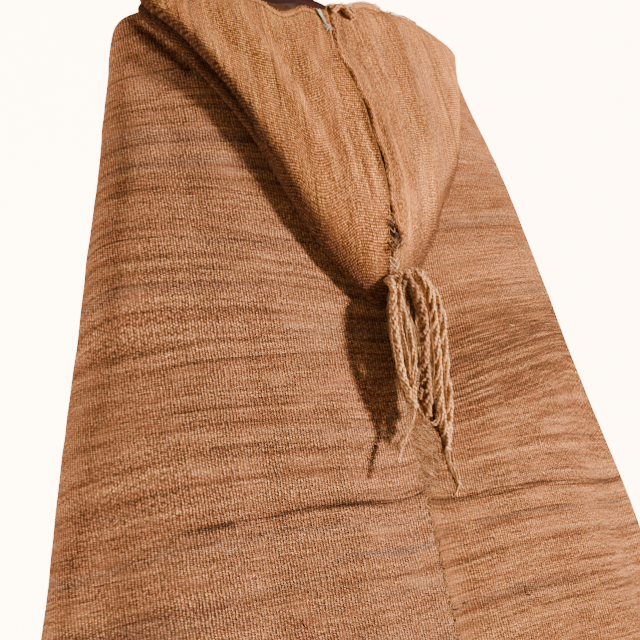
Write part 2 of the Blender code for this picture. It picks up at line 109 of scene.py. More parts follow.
# %% The cloak's sections, from the neck to the hem
NECK_SEAM = (    # degrees round from the centre back, height
    (0.0, -0.166), (15.0, -0.164), (25.0, -0.158), (35.0, -0.150), (45.0, -0.144), (60.0, -0.138),
    (75.0, -0.134), (90.0, -0.1325), (105.0, -0.134), (120.0, -0.138), (135.0, -0.142),
    (150.0, -0.148), (165.0, -0.153), (180.0, -0.155),
)
SEAM_WANDER = (    # height, how far the back seam lies to the wearer's left
    (-0.120, -0.002), (-0.200, 0.000), (-0.400, 0.004), (-0.550, 0.007), (-0.700, 0.010),
    (-1.460, 0.012),
)
BODY_SECTIONS = (    # height, half width, depth behind, depth in front, squareness
    (-0.120, 0.092, 0.028, 0.026, 2.0),
    (-0.130, 0.122, 0.031, 0.029, 2.0),
    (-0.145, 0.170, 0.036, 0.033, 2.0),
    (-0.160, 0.214, 0.042, 0.037, 2.0),
    (-0.175, 0.240, 0.049, 0.042, 2.1),
    (-0.190, 0.249, 0.057, 0.047, 2.2),
    (-0.250, 0.261, 0.072, 0.058, 2.4),
    (-0.350, 0.279, 0.092, 0.070, 2.4),
    (-0.450, 0.300, 0.106, 0.080, 2.4),
    (-0.700, 0.353, 0.134, 0.094, 2.4),
    (-1.000, 0.416, 0.168, 0.112, 2.4),
    (-1.430, 0.507, 0.216, 0.136, 2.4),
)


def table_curves(table, sign=1):
    """One curve for each further column of a table, against its first column."""
    places = [sign * row[0] for row in table]
    return [smooth_curve(places, [row[k] for row in table]) for k in range(1, len(table[0]))]


half_width, depth_behind, depth_in_front, squareness = table_curves(BODY_SECTIONS, -1)
(seam_wander,) = table_curves(SEAM_WANDER, -1)
(neck_seam,) = table_curves(NECK_SEAM)


def cloak_point(turn, height):
    """Points of the left half: turn is 0 at the centre back, 90 at the side, 180 in front."""
    turn, height = np.broadcast_arrays(np.asarray(turn, float), np.asarray(height, float))
    z = np.minimum(height, neck_seam(turn) - NECK_STAND)
    across = np.sin(np.radians(turn))
    depth = np.where(turn <= 90, depth_behind(-z), -depth_in_front(-z))
    inside = np.maximum(0.0, 1 - np.abs(across) ** squareness(-z))
    return np.stack([half_width(-z) * across, depth * np.sqrt(inside), height], axis=-1)


def cloak_normal(turn, z, step=0.002):
    """Straight out of the cloth there."""
    round_step = cloak_point(np.minimum(turn + 1, 180), z) - cloak_point(np.maximum(turn - 1, 0), z)
    round_step = np.where(np.asarray(turn)[..., None] < 1, np.array((1.0, 0, 0)), round_step)
    down_step = cloak_point(turn, z - step) - cloak_point(turn, z + step)
    normal = np.cross(round_step, down_step)
    return normal / np.linalg.norm(normal, axis=-1, keepdims=True)


def placed(column, z):
    """The turn of a column at that height, short of 180 by half of the gap in front."""
    down = np.maximum((z - UPPER_END_Z) / (HEM_Z - UPPER_END_Z), 0.0)
    gap = FRONT_GAP_TOP + (FRONT_GAP_HEM - FRONT_GAP_TOP) * down
    return column * (1 - np.arcsin(gap / half_width(-z)) / math.pi)


def wandered(points, side):
    """The points on their own side of the cloak, moved over by what the seams wander there."""
    x, y, z = points[..., 0], points[..., 1], points[..., 2]
    middle = 1 - np.minimum(np.abs(x) / half_width(-z), 1.0) ** 2
    return np.stack([side * x + seam_wander(-z) * middle, y, z], axis=-1)


print("half width at the hem:", round(float(half_width(1.43)), 3), "m")

# %% [markdown]
# ## Folds, creases and soft unevenness
#
# Three things move hanging cloth off its plain form: the deep folds that grow towards the hem, a few
# creases where the cloth is pulled, and a faint unevenness everywhere, because hand-woven cloth is
# never flat. Each is a short distance straight out of the cloth, so they can simply be added.

# %% Lifts straight out of the cloth
LEFT_FOLDS = (    # place from the back (0) to the front edge (1), half width, rise, start, full height
    (0.135, 0.050, -0.014, -0.55, -1.43),
    (0.235, 0.060, 0.024, -0.42, -1.43),
    (0.345, 0.045, -0.022, -0.60, -1.43),
    (0.430, 0.050, 0.026, -0.50, -1.43),
    (0.540, 0.060, -0.020, -0.62, -1.43),
    (0.650, 0.055, 0.024, -0.45, -1.43),
    (0.760, 0.060, -0.018, -0.52, -1.43),
    (0.880, 0.050, 0.020, -0.40, -1.43),
)
RIGHT_FOLDS = (
    (0.360, 0.090, 0.011, -0.20, -0.38),
    (0.120, 0.055, -0.012, -0.60, -1.43),
    (0.215, 0.050, 0.018, -0.50, -1.43),
    (0.310, 0.050, -0.022, -0.44, -1.43),
    (0.390, 0.045, 0.026, -0.30, -1.43),
    (0.500, 0.055, -0.022, -0.50, -1.43),
    (0.605, 0.060, 0.022, -0.55, -1.43),
    (0.725, 0.055, -0.020, -0.45, -1.43),
    (0.850, 0.060, 0.022, -0.40, -1.43),
)


def fold_rise(folds, turn, z):
    rise = 0.0
    for centre, width, height, start, full in folds:
        growth = ease((start - z) / (start - full))
        rise = rise + height * growth * bump(turn / 180 - centre, width)
    return rise


PAST_END, END_SOFT = 0.15, 0.35     # a crease dies out past its ends, in shares of its length


def crease_rise(creases, across, z):
    """Soft ridges and troughs along lines: both ends, half width and height, all in metres."""
    rise = 0.0
    for x0, z0, x1, z1, width, height in creases:
        dx, dz = x1 - x0, z1 - z0
        along = ((across - x0) * dx + (z - z0) * dz) / (dx * dx + dz * dz)
        off = ((across - x0) * dz - (z - z0) * dx) / math.hypot(dx, dz)
        ends = ease((along + PAST_END) / END_SOFT) * ease((1 + PAST_END - along) / END_SOFT)
        rise = rise + height * ends * bump(off, width)
    return rise


def uneven(across, down, size, seed):
    """Smooth unevenness from -1 to 1 with lumps of that size, the same on each run."""
    cells = 96
    knots = np.random.default_rng(seed).uniform(-1, 1, (cells, cells))
    a, b = across / size + cells / 2, down / size + cells / 2
    i, j = np.floor(a).astype(int), np.floor(b).astype(int)
    s, t = ease(a - i), ease(b - j)
    i, j, k, m = i % cells, j % cells, (i + 1) % cells, (j + 1) % cells
    left = knots[i, j] * (1 - t) + knots[i, m] * t
    right = knots[k, j] * (1 - t) + knots[k, m] * t
    return left * (1 - s) + right * s


print("folds:", len(LEFT_FOLDS), "on the left,", len(RIGHT_FOLDS), "on the right")

# %% [markdown]
# ## How the threads run
#
# The stripes of the cloth are its threads, so each point needs its place in the flat cloth, before it
# was hung. The cloak flares like a cone, and a cone can be unrolled: the distance round becomes an
# angle about the cone's tip. A woven panel is not quite a cone, though, and its threads were pulled
# up a little towards the sides, so a short table adds that for the back. The places are kept in a UV
# map, in metres, so the stripes follow the cloth wherever it folds.

# %% Unroll the cloak
CONE_TIP_TO_NECK = 1.175
SIDE_FROM, SIDE_OVER = 0.28, 0.22   # round from the back seam: where the side begins, and how soon
SIDE_RISE = 0.12                    # how much the threads rise there and in front
LEFT_STRIPE_RISE = (    # height, how much the threads rise for each metre round to the side
    (-0.12, -0.15), (-0.25, 0.05), (-0.35, 0.20), (-0.45, 0.26), (-0.52, 0.22), (-0.60, 0.12),
    (-0.68, 0.17), (-0.75, 0.11), (-0.82, 0.13), (-1.43, 0.10),
)
RIGHT_STRIPE_RISE = (
    (-0.12, -0.15), (-0.25, 0.10), (-0.40, 0.25), (-0.55, 0.28), (-0.60, 0.31), (-0.70, 0.16),
    (-0.78, 0.08), (-0.83, 0.09), (-1.43, 0.08),
)


def unrolled(points, z, rise_table):
    """For rows of points from the centre back round to the front, their places in the flat cloth."""
    steps = np.linalg.norm(np.diff(points, axis=1), axis=2)
    around = np.concatenate([np.zeros((len(points), 1)), np.cumsum(steps, axis=1)], axis=1)
    fall = np.linalg.norm(np.diff(points[:, 0], axis=0), axis=1)
    down = CONE_TIP_TO_NECK + np.concatenate([[0.0], np.cumsum(fall)])[:, None]
    angle = around / down
    (rise,) = table_curves(rise_table, -1)
    near_back = 1 - ease((around - SIDE_FROM) / SIDE_OVER)
    rise_here = rise(-z) * near_back + SIDE_RISE * (1 - near_back)
    return np.stack([down * np.sin(angle), down * np.cos(angle) + rise_here * around], axis=-1)


def sheet_mesh(name, points, places, side):
    """A sheet on a grid of points, with the places of its threads in the UV map Threads."""
    rows, columns = points.shape[:2]
    first = (np.arange(rows - 1)[:, None] * columns + np.arange(columns - 1)).ravel()
    faces = np.stack([first, first + 1, first + columns + 1, first + columns], axis=1)
    if side < 0:
        faces = faces[:, ::-1]
    mesh = bpy.data.meshes.new(name)
    mesh.from_pydata(wandered(points, side).reshape(-1, 3).tolist(), [], faces.tolist())
    threads = mesh.uv_layers.new(name="Threads")
    flat = places.reshape(-1, 2)[faces.ravel()] * (side, 1)
    threads.data.foreach_set("uv", flat.ravel())
    mesh.shade_smooth()
    sheet = bpy.data.objects.new(name, mesh)
    bpy.context.scene.collection.objects.link(sheet)
    wall = sheet.modifiers.new("wall", "SOLIDIFY")
    wall.thickness = CLOTH
    wall.offset = 0.0
    return sheet


print("the cone's tip is", CONE_TIP_TO_NECK, "m above the neck, along the cloth")

# %% [markdown]
# ## The cloak's two halves
#
# Each half is one piece of cloth from the seam down the centre back, round the side, to the front
# edge. A grid of points on the form, with the lifts added, gives an even mesh whose rows and columns
# can also carry the threads. Solidify gives it the thickness of the wool. The two halves are sewn
# together behind, so folds die out towards that seam and a low ridge shows its turned-in edge.

# %% Make the cloak's halves
LEFT_CREASES = (    # from sideways, height, to sideways, height, half width, rise
    (0.205, -0.215, 0.120, -0.420, 0.016, 0.0022),
    (0.235, -0.230, 0.200, -0.480, 0.014, -0.0020),
    (0.165, -0.330, 0.105, -0.560, 0.018, -0.0018),
    (0.080, -0.620, 0.090, -0.950, 0.022, 0.0030),
    (0.170, -0.560, 0.190, -0.900, 0.020, -0.0028),
    (0.2290, -0.1840, 0.1840, -0.2580, 0.0050, -0.0100),
    (0.238, -0.206, 0.202, -0.256, 0.009, 0.0034),
)
RIGHT_CREASES = (
    (0.190, -0.225, 0.225, -0.430, 0.015, 0.0026),
    (0.150, -0.300, 0.165, -0.520, 0.016, -0.0024),
    (0.030, -0.600, 0.040, -0.900, 0.012, 0.0022),
    (0.110, -0.520, 0.120, -0.800, 0.020, 0.0028),
)
SEAM_COLUMNS = 14                   # close together, for the seam's own relief
SEAM_TURN = 3.0                     # the degrees that they cover
CLOAK_COLUMNS = 164
CLOAK_UPPER_ROWS = 62
CLOAK_LOWER_ROWS = 125
ROW_CROWDING = 1.5                  # the power that crowds the upper rows towards the neck
NECK_CALM, NECK_FREED = 0.012, 0.050    # below the neck seam: no lifts at first, all of them after
LUMPS = ((0.0010, 0.075), (0.0004, 0.022))    # height and size of the soft unevenness
SEWN_FLAT = 0.014                   # folds die out this close to the back seam
SEAM_RIDGE, RIDGE_AT, RIDGE_HALF = 0.0004, 0.007, 0.004    # the turned-in edge under the cloth


def cloak_grid():
    """Turns and heights of the cloak's mesh, with close columns at the seam and rows at the neck."""
    near_seam = np.linspace(0, SEAM_TURN, SEAM_COLUMNS, endpoint=False)
    others = np.linspace(SEAM_TURN, 180, CLOAK_COLUMNS - SEAM_COLUMNS)
    column = np.concatenate([near_seam, others])[None, :]
    top = neck_seam(column)
    shares = np.linspace(0, 1, CLOAK_UPPER_ROWS)[:, None] ** ROW_CROWDING
    upper = top - NECK_STAND + (UPPER_END_Z - top + NECK_STAND) * shares
    lower = np.linspace(UPPER_END_Z, HEM_Z, CLOAK_LOWER_ROWS + 1)[1:, None] + 0 * column
    z = np.concatenate([top, top - NECK_STAND / 2, upper, lower])
    return placed(column + 0 * z, z), z


def behind(turn, across):
    """The sideways place for creases, which lie on the back only."""
    return np.where(turn < 95, across, FAR_OFF)


def cloak_half(name, side, folds, creases, rise_table, seed):
    turn, z = cloak_grid()
    form = cloak_point(turn, z)
    from_seam = form[..., 0]
    places = unrolled(form, z, rise_table)
    free = ease((neck_seam(turn) - NECK_CALM - z) / NECK_FREED)
    lift = fold_rise(folds, turn, z)
    lift = lift + free * crease_rise(creases, behind(turn, from_seam), z)
    for k, (height, size) in enumerate(LUMPS):
        lift = lift + free * height * uneven(places[..., 0], places[..., 1], size, seed + k)
    lift = lift * np.where(turn < 90, ease(from_seam / SEWN_FLAT), 1.0)
    ridge = bump(from_seam - RIDGE_AT, RIDGE_HALF) * (turn < 90)
    lift = lift + free * SEAM_RIDGE * ridge
    points = form + cloak_normal(turn, z) * lift[..., None]
    down = ease((z - UPPER_END_Z) / (HEM_Z - UPPER_END_Z))
    points[..., 2] -= SIDE_DROP * down * np.sin(np.radians(turn)) ** 2
    points[:, 0, 0] = SEWN_CLOSE
    return sheet_mesh(name, points, places, side)


cloak_left = cloak_half("cloak_left", 1, LEFT_FOLDS, LEFT_CREASES, LEFT_STRIPE_RISE, 11)
cloak_right = cloak_half("cloak_right", -1, RIGHT_FOLDS, RIGHT_CREASES, RIGHT_STRIPE_RISE, 23)
print("cloak halves:", len(cloak_left.data.polygons), "faces each")

# %% [markdown]
# Cords and loose fibres will lie on this cloth, so they need to know where its surface is. The mesh is
# a plain grid, so the surface at any place can be read between two of its rows.

# %% Read the surface of the cloth
def edge_points(sheet, rows, columns, row=None, column=None):
    """Points of one row or column of the sheet's own grid."""
    points = np.empty(len(sheet.data.vertices) * 3)
    sheet.data.vertices.foreach_get("co", points)
    grid = points.reshape(rows, columns, 3)
    return grid[row] if column is None else grid[:, column]


class Sheet:
    """The surface of one half of the cloak, read at any sideways place and height."""

    def __init__(self, sheet, columns):
        self.grid = edge_points(sheet, len(sheet.data.vertices) // columns, columns, row=slice(None))
        self.heights = -self.grid[:, 0, 2]

    def at(self, x, z, out=0.0016):
        """The point of the back at that place, moved out to lie on the wall and not in it."""
        row = np.clip(np.searchsorted(self.heights, -z) - 1, 2, len(self.heights) - 2)
        share = (-z - self.heights[row]) / (self.heights[row + 1] - self.heights[row])
        y = []
        for line in self.grid[row:row + 2]:
            line = line[:np.abs(line[:, 0]).argmax()]
            line = line[line[:, 0].argsort()]
            y.append(np.interp(x, line[:, 0], line[:, 1]))
        return np.array((x, y[0] + (y[1] - y[0]) * share + out, z))


BACK_SEAM_X = 0.010                 # about where the back seam hangs, between the two halves
left_cloth, right_cloth = Sheet(cloak_left, CLOAK_COLUMNS), Sheet(cloak_right, CLOAK_COLUMNS)
print("rows of cloth from neck to hem:", len(left_cloth.heights))

# %% [markdown]
# ## The hood
#
# The hood is turned down over the back. From the neck seam its cloth stands up, turns over, runs down
# as an under layer, folds, and comes up again as the layer that shows, ending at the mouth. So each
# column of the hood is one path in height and distance from the cloak, and a table says how that path
# changes from the centre seam out to the shoulder.

# %% The hood's sections
# Each row: degrees round from the centre back, mouth height, fold height, then how far out from the
# cloak the layer lies at the mouth, at the belly, low down and at the fold, and how deep it rolls below.
HOOD_LEFT = (
    (0.0, -0.189, -0.558, 0.034, 0.044, 0.046, 0.012, 0.000),
    (4.5, -0.188, -0.554, 0.033, 0.042, 0.044, 0.013, 0.000),
    (8.5, -0.186, -0.536, 0.032, 0.041, 0.042, 0.015, 0.000),
    (12.0, -0.190, -0.518, 0.031, 0.040, 0.040, 0.016, 0.000),
    (16.5, -0.195, -0.490, 0.030, 0.038, 0.037, 0.018, 0.000),
    (19.7, -0.189, -0.465, 0.030, 0.037, 0.036, 0.019, 0.000),
    (22.6, -0.180, -0.441, 0.029, 0.035, 0.034, 0.020, 0.000),
    (27.6, -0.171, -0.389, 0.028, 0.033, 0.032, 0.022, 0.003),
    (32.6, -0.164, -0.334, 0.028, 0.031, 0.030, 0.024, 0.010),
    (37.5, -0.159, -0.294, 0.027, 0.029, 0.028, 0.024, 0.016),
    (43.7, -0.155, -0.256, 0.026, 0.027, 0.027, 0.024, 0.018),
    (50.7, -0.151, -0.219, 0.024, 0.025, 0.025, 0.022, 0.015),
    (58.5, -0.147, -0.192, 0.022, 0.023, 0.023, 0.020, 0.015),
    (68.0, -0.143, -0.171, 0.017, 0.018, 0.018, 0.0165, 0.007),
    (76.0, -0.141, -0.159, 0.013, 0.0135, 0.0135, 0.0125, 0.001),
    (90.0, -0.140, -0.153, 0.012, 0.0125, 0.0125, 0.0115, 0.000),
    (120.0, -0.144, -0.164, 0.012, 0.0125, 0.0125, 0.0115, 0.000),
    (164.0, -0.158, -0.190, 0.014, 0.0150, 0.0150, 0.0130, 0.000),
)
HOOD_RIGHT = (
    (0.0, -0.186, -0.558, 0.034, 0.044, 0.046, 0.012, 0.000),
    (5.5, -0.160, -0.545, 0.034, 0.043, 0.044, 0.014, 0.000),
    (11.5, -0.148, -0.513, 0.034, 0.043, 0.043, 0.018, 0.000),
    (14.1, -0.146, -0.497, 0.034, 0.043, 0.042, 0.020, 0.000),
    (17.2, -0.147, -0.479, 0.034, 0.042, 0.041, 0.024, 0.000),
    (22.5, -0.159, -0.439, 0.034, 0.042, 0.040, 0.026, 0.000),
    (26.3, -0.165, -0.419, 0.034, 0.041, 0.039, 0.028, 0.000),
    (32.0, -0.164, -0.385, 0.032, 0.039, 0.038, 0.030, 0.001),
    (38.0, -0.161, -0.335, 0.029, 0.035, 0.035, 0.029, 0.002),
    (44.0, -0.159, -0.280, 0.026, 0.030, 0.031, 0.027, 0.003),
    (51.0, -0.156, -0.228, 0.022, 0.024, 0.025, 0.022, 0.004),
    (59.0, -0.151, -0.194, 0.018, 0.020, 0.020, 0.018, 0.004),
    (68.0, -0.146, -0.173, 0.015, 0.017, 0.017, 0.0155, 0.003),
    (78.0, -0.143, -0.160, 0.013, 0.014, 0.014, 0.0130, 0.001),
    (90.0, -0.141, -0.154, 0.012, 0.0125, 0.0125, 0.0115, 0.000),
    (120.0, -0.144, -0.164, 0.012, 0.0125, 0.0125, 0.0115, 0.000),
    (164.0, -0.158, -0.190, 0.014, 0.0150, 0.0150, 0.0130, 0.000),
)
HOOD_STAND = 0.011                  # how far above the neck seam the cloth turns over
TURNED_TOP = ((-0.002, 0.001), (0.0, 0.0045), (-0.003, 0.0078))
# the under layer: how far out it hangs, how much more at the neck, and how far above the fold it ends
UNDER_OUT, UNDER_NECK_OUT, UNDER_END = 0.0050, 0.0035, 0.008
# the roll below the fold: how far out, how deep, and how deep it is where it is fully formed
ROLL_OUT, ROLL_DEEP, ROLL_FULL = 0.0125, 0.006, 0.008
# the tuck between the roll and the fold: its height, its way out, and what lies behind the fold
TUCK_UP, TUCK_OUT, TUCK_BACK, FOLD_BACK = 0.010, 0.0145, 0.004, 0.0015
# a plain fold, where there is no roll: up and out, in half widths of the fold
PLAIN_TURN = ((0.4, 0.35), (0.0, 1.0), (0.1, 1.3), (0.4, 1.65), (1.0, 1.95))
# the points of the two layers, in shares of each layer's height, and where a row's distances apply
UNDER_SHARES = (0.1, 0.3, 0.5, 0.7, 0.88, 1.0)
OUTER_SHARES = (0.1, 0.2, 0.33, 0.46, 0.6, 0.74, 0.88, 1.0)
OUTER_PLACES = (0.0, 0.3, 0.65, 1.0)
HOOD_END = 164                      # degrees round to the hood's front edge


def hood_path(column, row):
    """Heights and distances out, from the neck seam to the mouth, for all columns at once."""
    mouth, fold, mouth_out, belly_out, low_out, fold_out, roll = row
    seam = neck_seam(column) + SEAM_GAP
    path = [(seam, 0 * seam), (seam + NECK_STAND, 0 * seam)]
    path += [(seam + HOOD_STAND + up, out + 0 * seam) for up, out in TURNED_TOP]
    under_low = fold + UNDER_END - roll
    for share in UNDER_SHARES:
        nearer = UNDER_NECK_OUT * (1 - share) ** 2
        path.append((seam + (under_low - seam) * share, UNDER_OUT + nearer + 0 * seam))
    rolled = (
        (under_low - ROLL_DEEP, (UNDER_OUT + ROLL_OUT) / 2),
        (under_low, ROLL_OUT),
        (fold + TUCK_UP, TUCK_OUT),
        (fold + TUCK_UP, fold_out - TUCK_BACK),
        (fold, fold_out - FOLD_BACK),
    )
    half = (fold_out - UNDER_OUT) / 2
    plain = [(fold + half * up, UNDER_OUT + half * out) for up, out in PLAIN_TURN]
    share = ease(roll / ROLL_FULL)
    for (z, out), (plain_z, plain_out) in zip(rolled, plain):
        path.append((plain_z + (z - plain_z) * share, plain_out + (out - plain_out) * share))
    bends = np.array([fold_out, low_out, belly_out, mouth_out])
    for share in OUTER_SHARES:
        out = [smooth_curve(OUTER_PLACES, bend)(share) for bend in bends.T]
        path.append((fold + (mouth - fold) * share, np.array(out)))
    return np.array(path)


def hood_turn(turn, z):
    """The place round the cloak of a hood column, which hangs plumb behind, not along the flare."""
    plumb = 1 - ease((turn - PLUMB_TO) / (90 - PLUMB_TO))
    narrowing = (half_width(-SHOULDER_Z) / half_width(-z)) ** plumb
    hangs = np.degrees(np.arcsin(np.clip(np.sin(np.radians(turn)) * narrowing, -1, 1)))
    return np.where((z >= SHOULDER_Z) | (turn >= 90), turn, hangs)


print("hood: from", HOOD_LEFT[0][2], "at the tip of its fold up to", HOOD_LEFT[0][1], "m at its mouth")

# %% [markdown]
# The path has sharp corners where the table is coarse. A smoothing curve through its points, with
# more points on the layer that shows, makes it cloth. The hood was woven sideways on: its stripes run
# along the centre seam, so its places in the flat cloth are simply the distance from that seam and
# the distance along the path. A worn seam is never straight: it wanders, its two selvedges stand up
# beside it, and where the sewing has let go it gapes.

# %% The hood's creases and its worn seam
HOOD_COLUMNS = 236
HOOD_SEAM_COLUMNS = 20              # close together beside the seam
HOOD_SEAM_TURN = 3.6                # the degrees that they cover
EVEN_SHARE = 0.4                    # the other columns: this share of even steps, the rest widening
POINTS_BETWEEN = [2, 2, 3, 3, 2] + [4] * 5 + [4] * 5 + [8] * 8
SHOWN_ROWS = 8 * 8                  # the rows of the layer that shows, from the fold to the mouth
HOOD_LEFT_CREASES = (
    (0.128, -0.190, 0.062, -0.400, 0.010, 0.0030),
    (0.098, -0.200, 0.048, -0.400, 0.009, -0.0024),
    (0.168, -0.180, 0.118, -0.300, 0.012, -0.0026),
    (0.070, -0.200, 0.040, -0.330, 0.010, 0.0022),
    (0.030, -0.250, 0.028, -0.480, 0.008, -0.0018),
)
HOOD_RIGHT_CREASES = (
    (0.018, -0.330, 0.020, -0.500, 0.008, 0.0040),
    (0.035, -0.340, 0.034, -0.500, 0.009, -0.0030),
    (0.060, -0.170, 0.055, -0.360, 0.010, -0.0026),
    (0.085, -0.165, 0.080, -0.400, 0.012, 0.0026),
    (0.130, -0.180, 0.120, -0.330, 0.012, -0.0024),
)
SELVEDGE_ROLL = 0.0012              # the left half's selvedge stands up along the seam
SELVEDGE_FOLD = 0.0018              # and the right half is folded over beside it
SELVEDGE_AT, SELVEDGE_HALF = 0.0042, 0.0027
SEAM_TURN_IN, TURN_IN_HALF = 0.0011, 0.0014    # both turn in where they are sewn
SEAM_CALM = 0.012                   # creases die out this close to the seam
EDGE_STAND, EDGE_FADES = 0.0065, 0.042    # the left half's folded edge stands off the shoulder
HOOD_LUMP, LUMP_SIZE = 0.0008, 0.030
SEAM_GAPES = (                      # height, half length, how wide the sewing has let go
    (-0.281, 0.010, 0.0024), (-0.330, 0.013, 0.0030), (-0.352, 0.010, 0.0018),
    (-0.393, 0.019, 0.0034), (-0.428, 0.010, 0.0022), (-0.460, 0.012, 0.0036), (-0.486, 0.014, 0.0145),
)
GAPE_REACH, PULL_REACH = 0.014, 0.040    # how far into the cloth a gape and the seam's wander reach
HOOD_SEAM_WANDER = (                # height, how far the seam has been pulled to the wearer's left
    (-0.150, 0.003), (-0.180, 0.006), (-0.205, 0.0112), (-0.238, 0.0160), (-0.257, 0.0168),
    (-0.270, 0.0132), (-0.283, 0.0095), (-0.310, 0.0046), (-0.330, 0.0012), (-0.355, 0.0012),
    (-0.376, -0.0014), (-0.407, -0.0027), (-0.431, -0.0021), (-0.450, -0.0002), (-0.485, 0.0045),
    (-0.560, -0.001),
)
(hood_seam_wander,) = table_curves(HOOD_SEAM_WANDER, -1)
STRIPE_BOW = (                      # distance from the mouth, how far the stripes bow away from the seam
    (0.0, 0.0), (0.05, 0.005), (0.12, 0.011), (0.20, 0.013), (0.27, 0.008), (0.34, 0.0), (1.0, 0.0),
)
BOW_AT, BOW_HALF = 0.055, 0.045     # from the seam: where they bow most
RIGHT_BOW = 0.4                     # the right half's stripes bow less
(stripe_bow,) = table_curves(STRIPE_BOW)
STAND_FROM, STAND_OVER = 26, 14     # degrees round the back where the folded edge begins to stand
STAND_TO, STAND_GONE = 62, 16       # and where it lies down again
STAND_ROWS, SHOWN_OVER = 5, 14      # rows above the fold until it stands, and until the layer shows
FOLDED_EDGE = (0.75, 0.5, 70, 31)   # the folded selvedge: least height, swing, and two wave numbers


def seam_gape(z):
    """How wide the seam gapes at that height."""
    return sum(wide * bump(z - at, half) for at, half, wide in SEAM_GAPES)


print("places where the hood's seam gapes:", len(SEAM_GAPES))

# %% [markdown]
# With these, each half of the hood is made like a half of the cloak: a grid of points on its paths,
# lifted by creases and selvedge, then moved sideways where the seam wanders or gapes.

# %% Make the hood's halves
def refined(path):
    """More points on the path, on smooth curves between its own points."""
    count = len(path)
    fine = []
    for i, pieces in enumerate(POINTS_BETWEEN):
        p0, p1 = path[max(i - 1, 0)], path[i]
        p2, p3 = path[i + 1], path[min(i + 2, count - 1)]
        for t in np.arange(pieces) / pieces:
            lean_in, lean_out = (p2 - p0) / 2, (p3 - p1) / 2
            h = (2 * t**3 - 3 * t**2 + 1, t**3 - 2 * t**2 + t, 3 * t**2 - 2 * t**3, t**3 - t**2)
            fine.append(h[0] * p1 + h[1] * lean_in + h[2] * p2 + h[3] * lean_out)
    return np.array(fine + [path[-1]])


def column_reach(points):
    """How far each column is from the centre seam, level, on the layer that shows."""
    row = points[-SHOWN_ROWS // 2, :, :2]
    steps = np.linalg.norm(np.diff(row, axis=0), axis=1)
    return np.broadcast_to(np.concatenate([[0.0], np.cumsum(steps)]), points.shape[:2])


def edge_stands(turn, along):
    """1 where the left half's folded edge stands off the shoulder, on the layer that shows."""
    rows_up = np.arange(len(along))[:, None] - (len(along) - 1 - SHOWN_ROWS)
    up_from_fold = np.maximum(along - along[-1 - SHOWN_ROWS][None, :], 0)
    beside_shoulder = ease((turn - STAND_FROM) / STAND_OVER) * (1 - ease((turn - STAND_TO) / STAND_GONE))
    return ease(rows_up / STAND_ROWS) * bump(up_from_fold, EDGE_FADES) * beside_shoulder


def selvedge(side, z):
    """How far the woven edge stands up beside the seam. The right one was folded over unevenly."""
    least, swing, quick, slow = FOLDED_EDGE
    if side > 0:
        return SELVEDGE_ROLL
    return SELVEDGE_FOLD * (least + swing * np.sin(z * quick) * np.sin(z * slow))


def hood_half(name, side, table, creases, seed):
    near_seam = np.linspace(0, HOOD_SEAM_TURN, HOOD_SEAM_COLUMNS, endpoint=False)
    spread = np.linspace(0, 1, HOOD_COLUMNS - HOOD_SEAM_COLUMNS)
    widening = EVEN_SHARE * spread + (1 - EVEN_SHARE) * spread**2
    column = np.concatenate([near_seam, HOOD_SEAM_TURN + (HOOD_END - HOOD_SEAM_TURN) * widening])
    path = refined(hood_path(column, [curve(column) for curve in table_curves(table)]))
    z, out = path[:, 0], path[:, 1]
    turn = hood_turn(placed(column + 0 * z, z), z)
    form = cloak_point(turn, z)
    points = form + cloak_normal(turn, z) * out[..., None]
    shown = ease((np.arange(len(z))[:, None] - len(z) + SHOWN_ROWS) / SHOWN_OVER)
    steps = np.linalg.norm(np.diff(points, axis=0), axis=2)
    along = np.concatenate([np.zeros((1, len(column))), np.cumsum(steps, axis=0)])
    from_mouth, reach = along[-1:] - along, column_reach(points)
    bow = stripe_bow(from_mouth) * bump(reach - BOW_AT, BOW_HALF)
    places = np.stack([from_mouth, reach - (1.0 if side > 0 else RIGHT_BOW) * bow], axis=-1)

    lift = crease_rise(creases, behind(turn, form[..., 0]), z)
    lift = lift + HOOD_LUMP * uneven(places[..., 0], places[..., 1], LUMP_SIZE, seed)
    lift = shown * lift * ease(reach / SEAM_CALM)
    lift = lift + shown * selvedge(side, z) * bump(reach - SELVEDGE_AT, SELVEDGE_HALF)
    if side > 0:
        lift = lift + EDGE_STAND * edge_stands(turn, along)
    lift = lift - shown * SEAM_TURN_IN * bump(reach, TURN_IN_HALF)
    points = points + cloak_normal(turn, z) * lift[..., None]
    points[:, 0, 0] = SEAM_GAP / 2
    if side < 0:
        points[..., 0] += shown * seam_gape(z) * bump(reach, GAPE_REACH)
    points[..., 0] += side * (shown * hood_seam_wander(-z) * bump(reach, PULL_REACH))
    sheet = sheet_mesh(name, points, places, side)
    under = sheet.data.attributes.new("turned_under", "FLOAT", "POINT")
    under.data.foreach_set("value", (1 - shown + 0 * z).ravel())
    return sheet


hood_left = hood_half("hood_shell_left", 1, HOOD_LEFT, HOOD_LEFT_CREASES, 31)
hood_right = hood_half("hood_shell_right", -1, HOOD_RIGHT, HOOD_RIGHT_CREASES, 47)
print("hood halves:", len(hood_left.data.polygons), "faces each")

# %% [markdown]
# ## Writing materials as sums
#
# A node tree is easier to read as arithmetic. This small class wraps one socket, so that adding or
# multiplying two of them adds a Math node, and one method makes every other kind of node. The same
# class serves the materials and the Geometry Nodes further down.

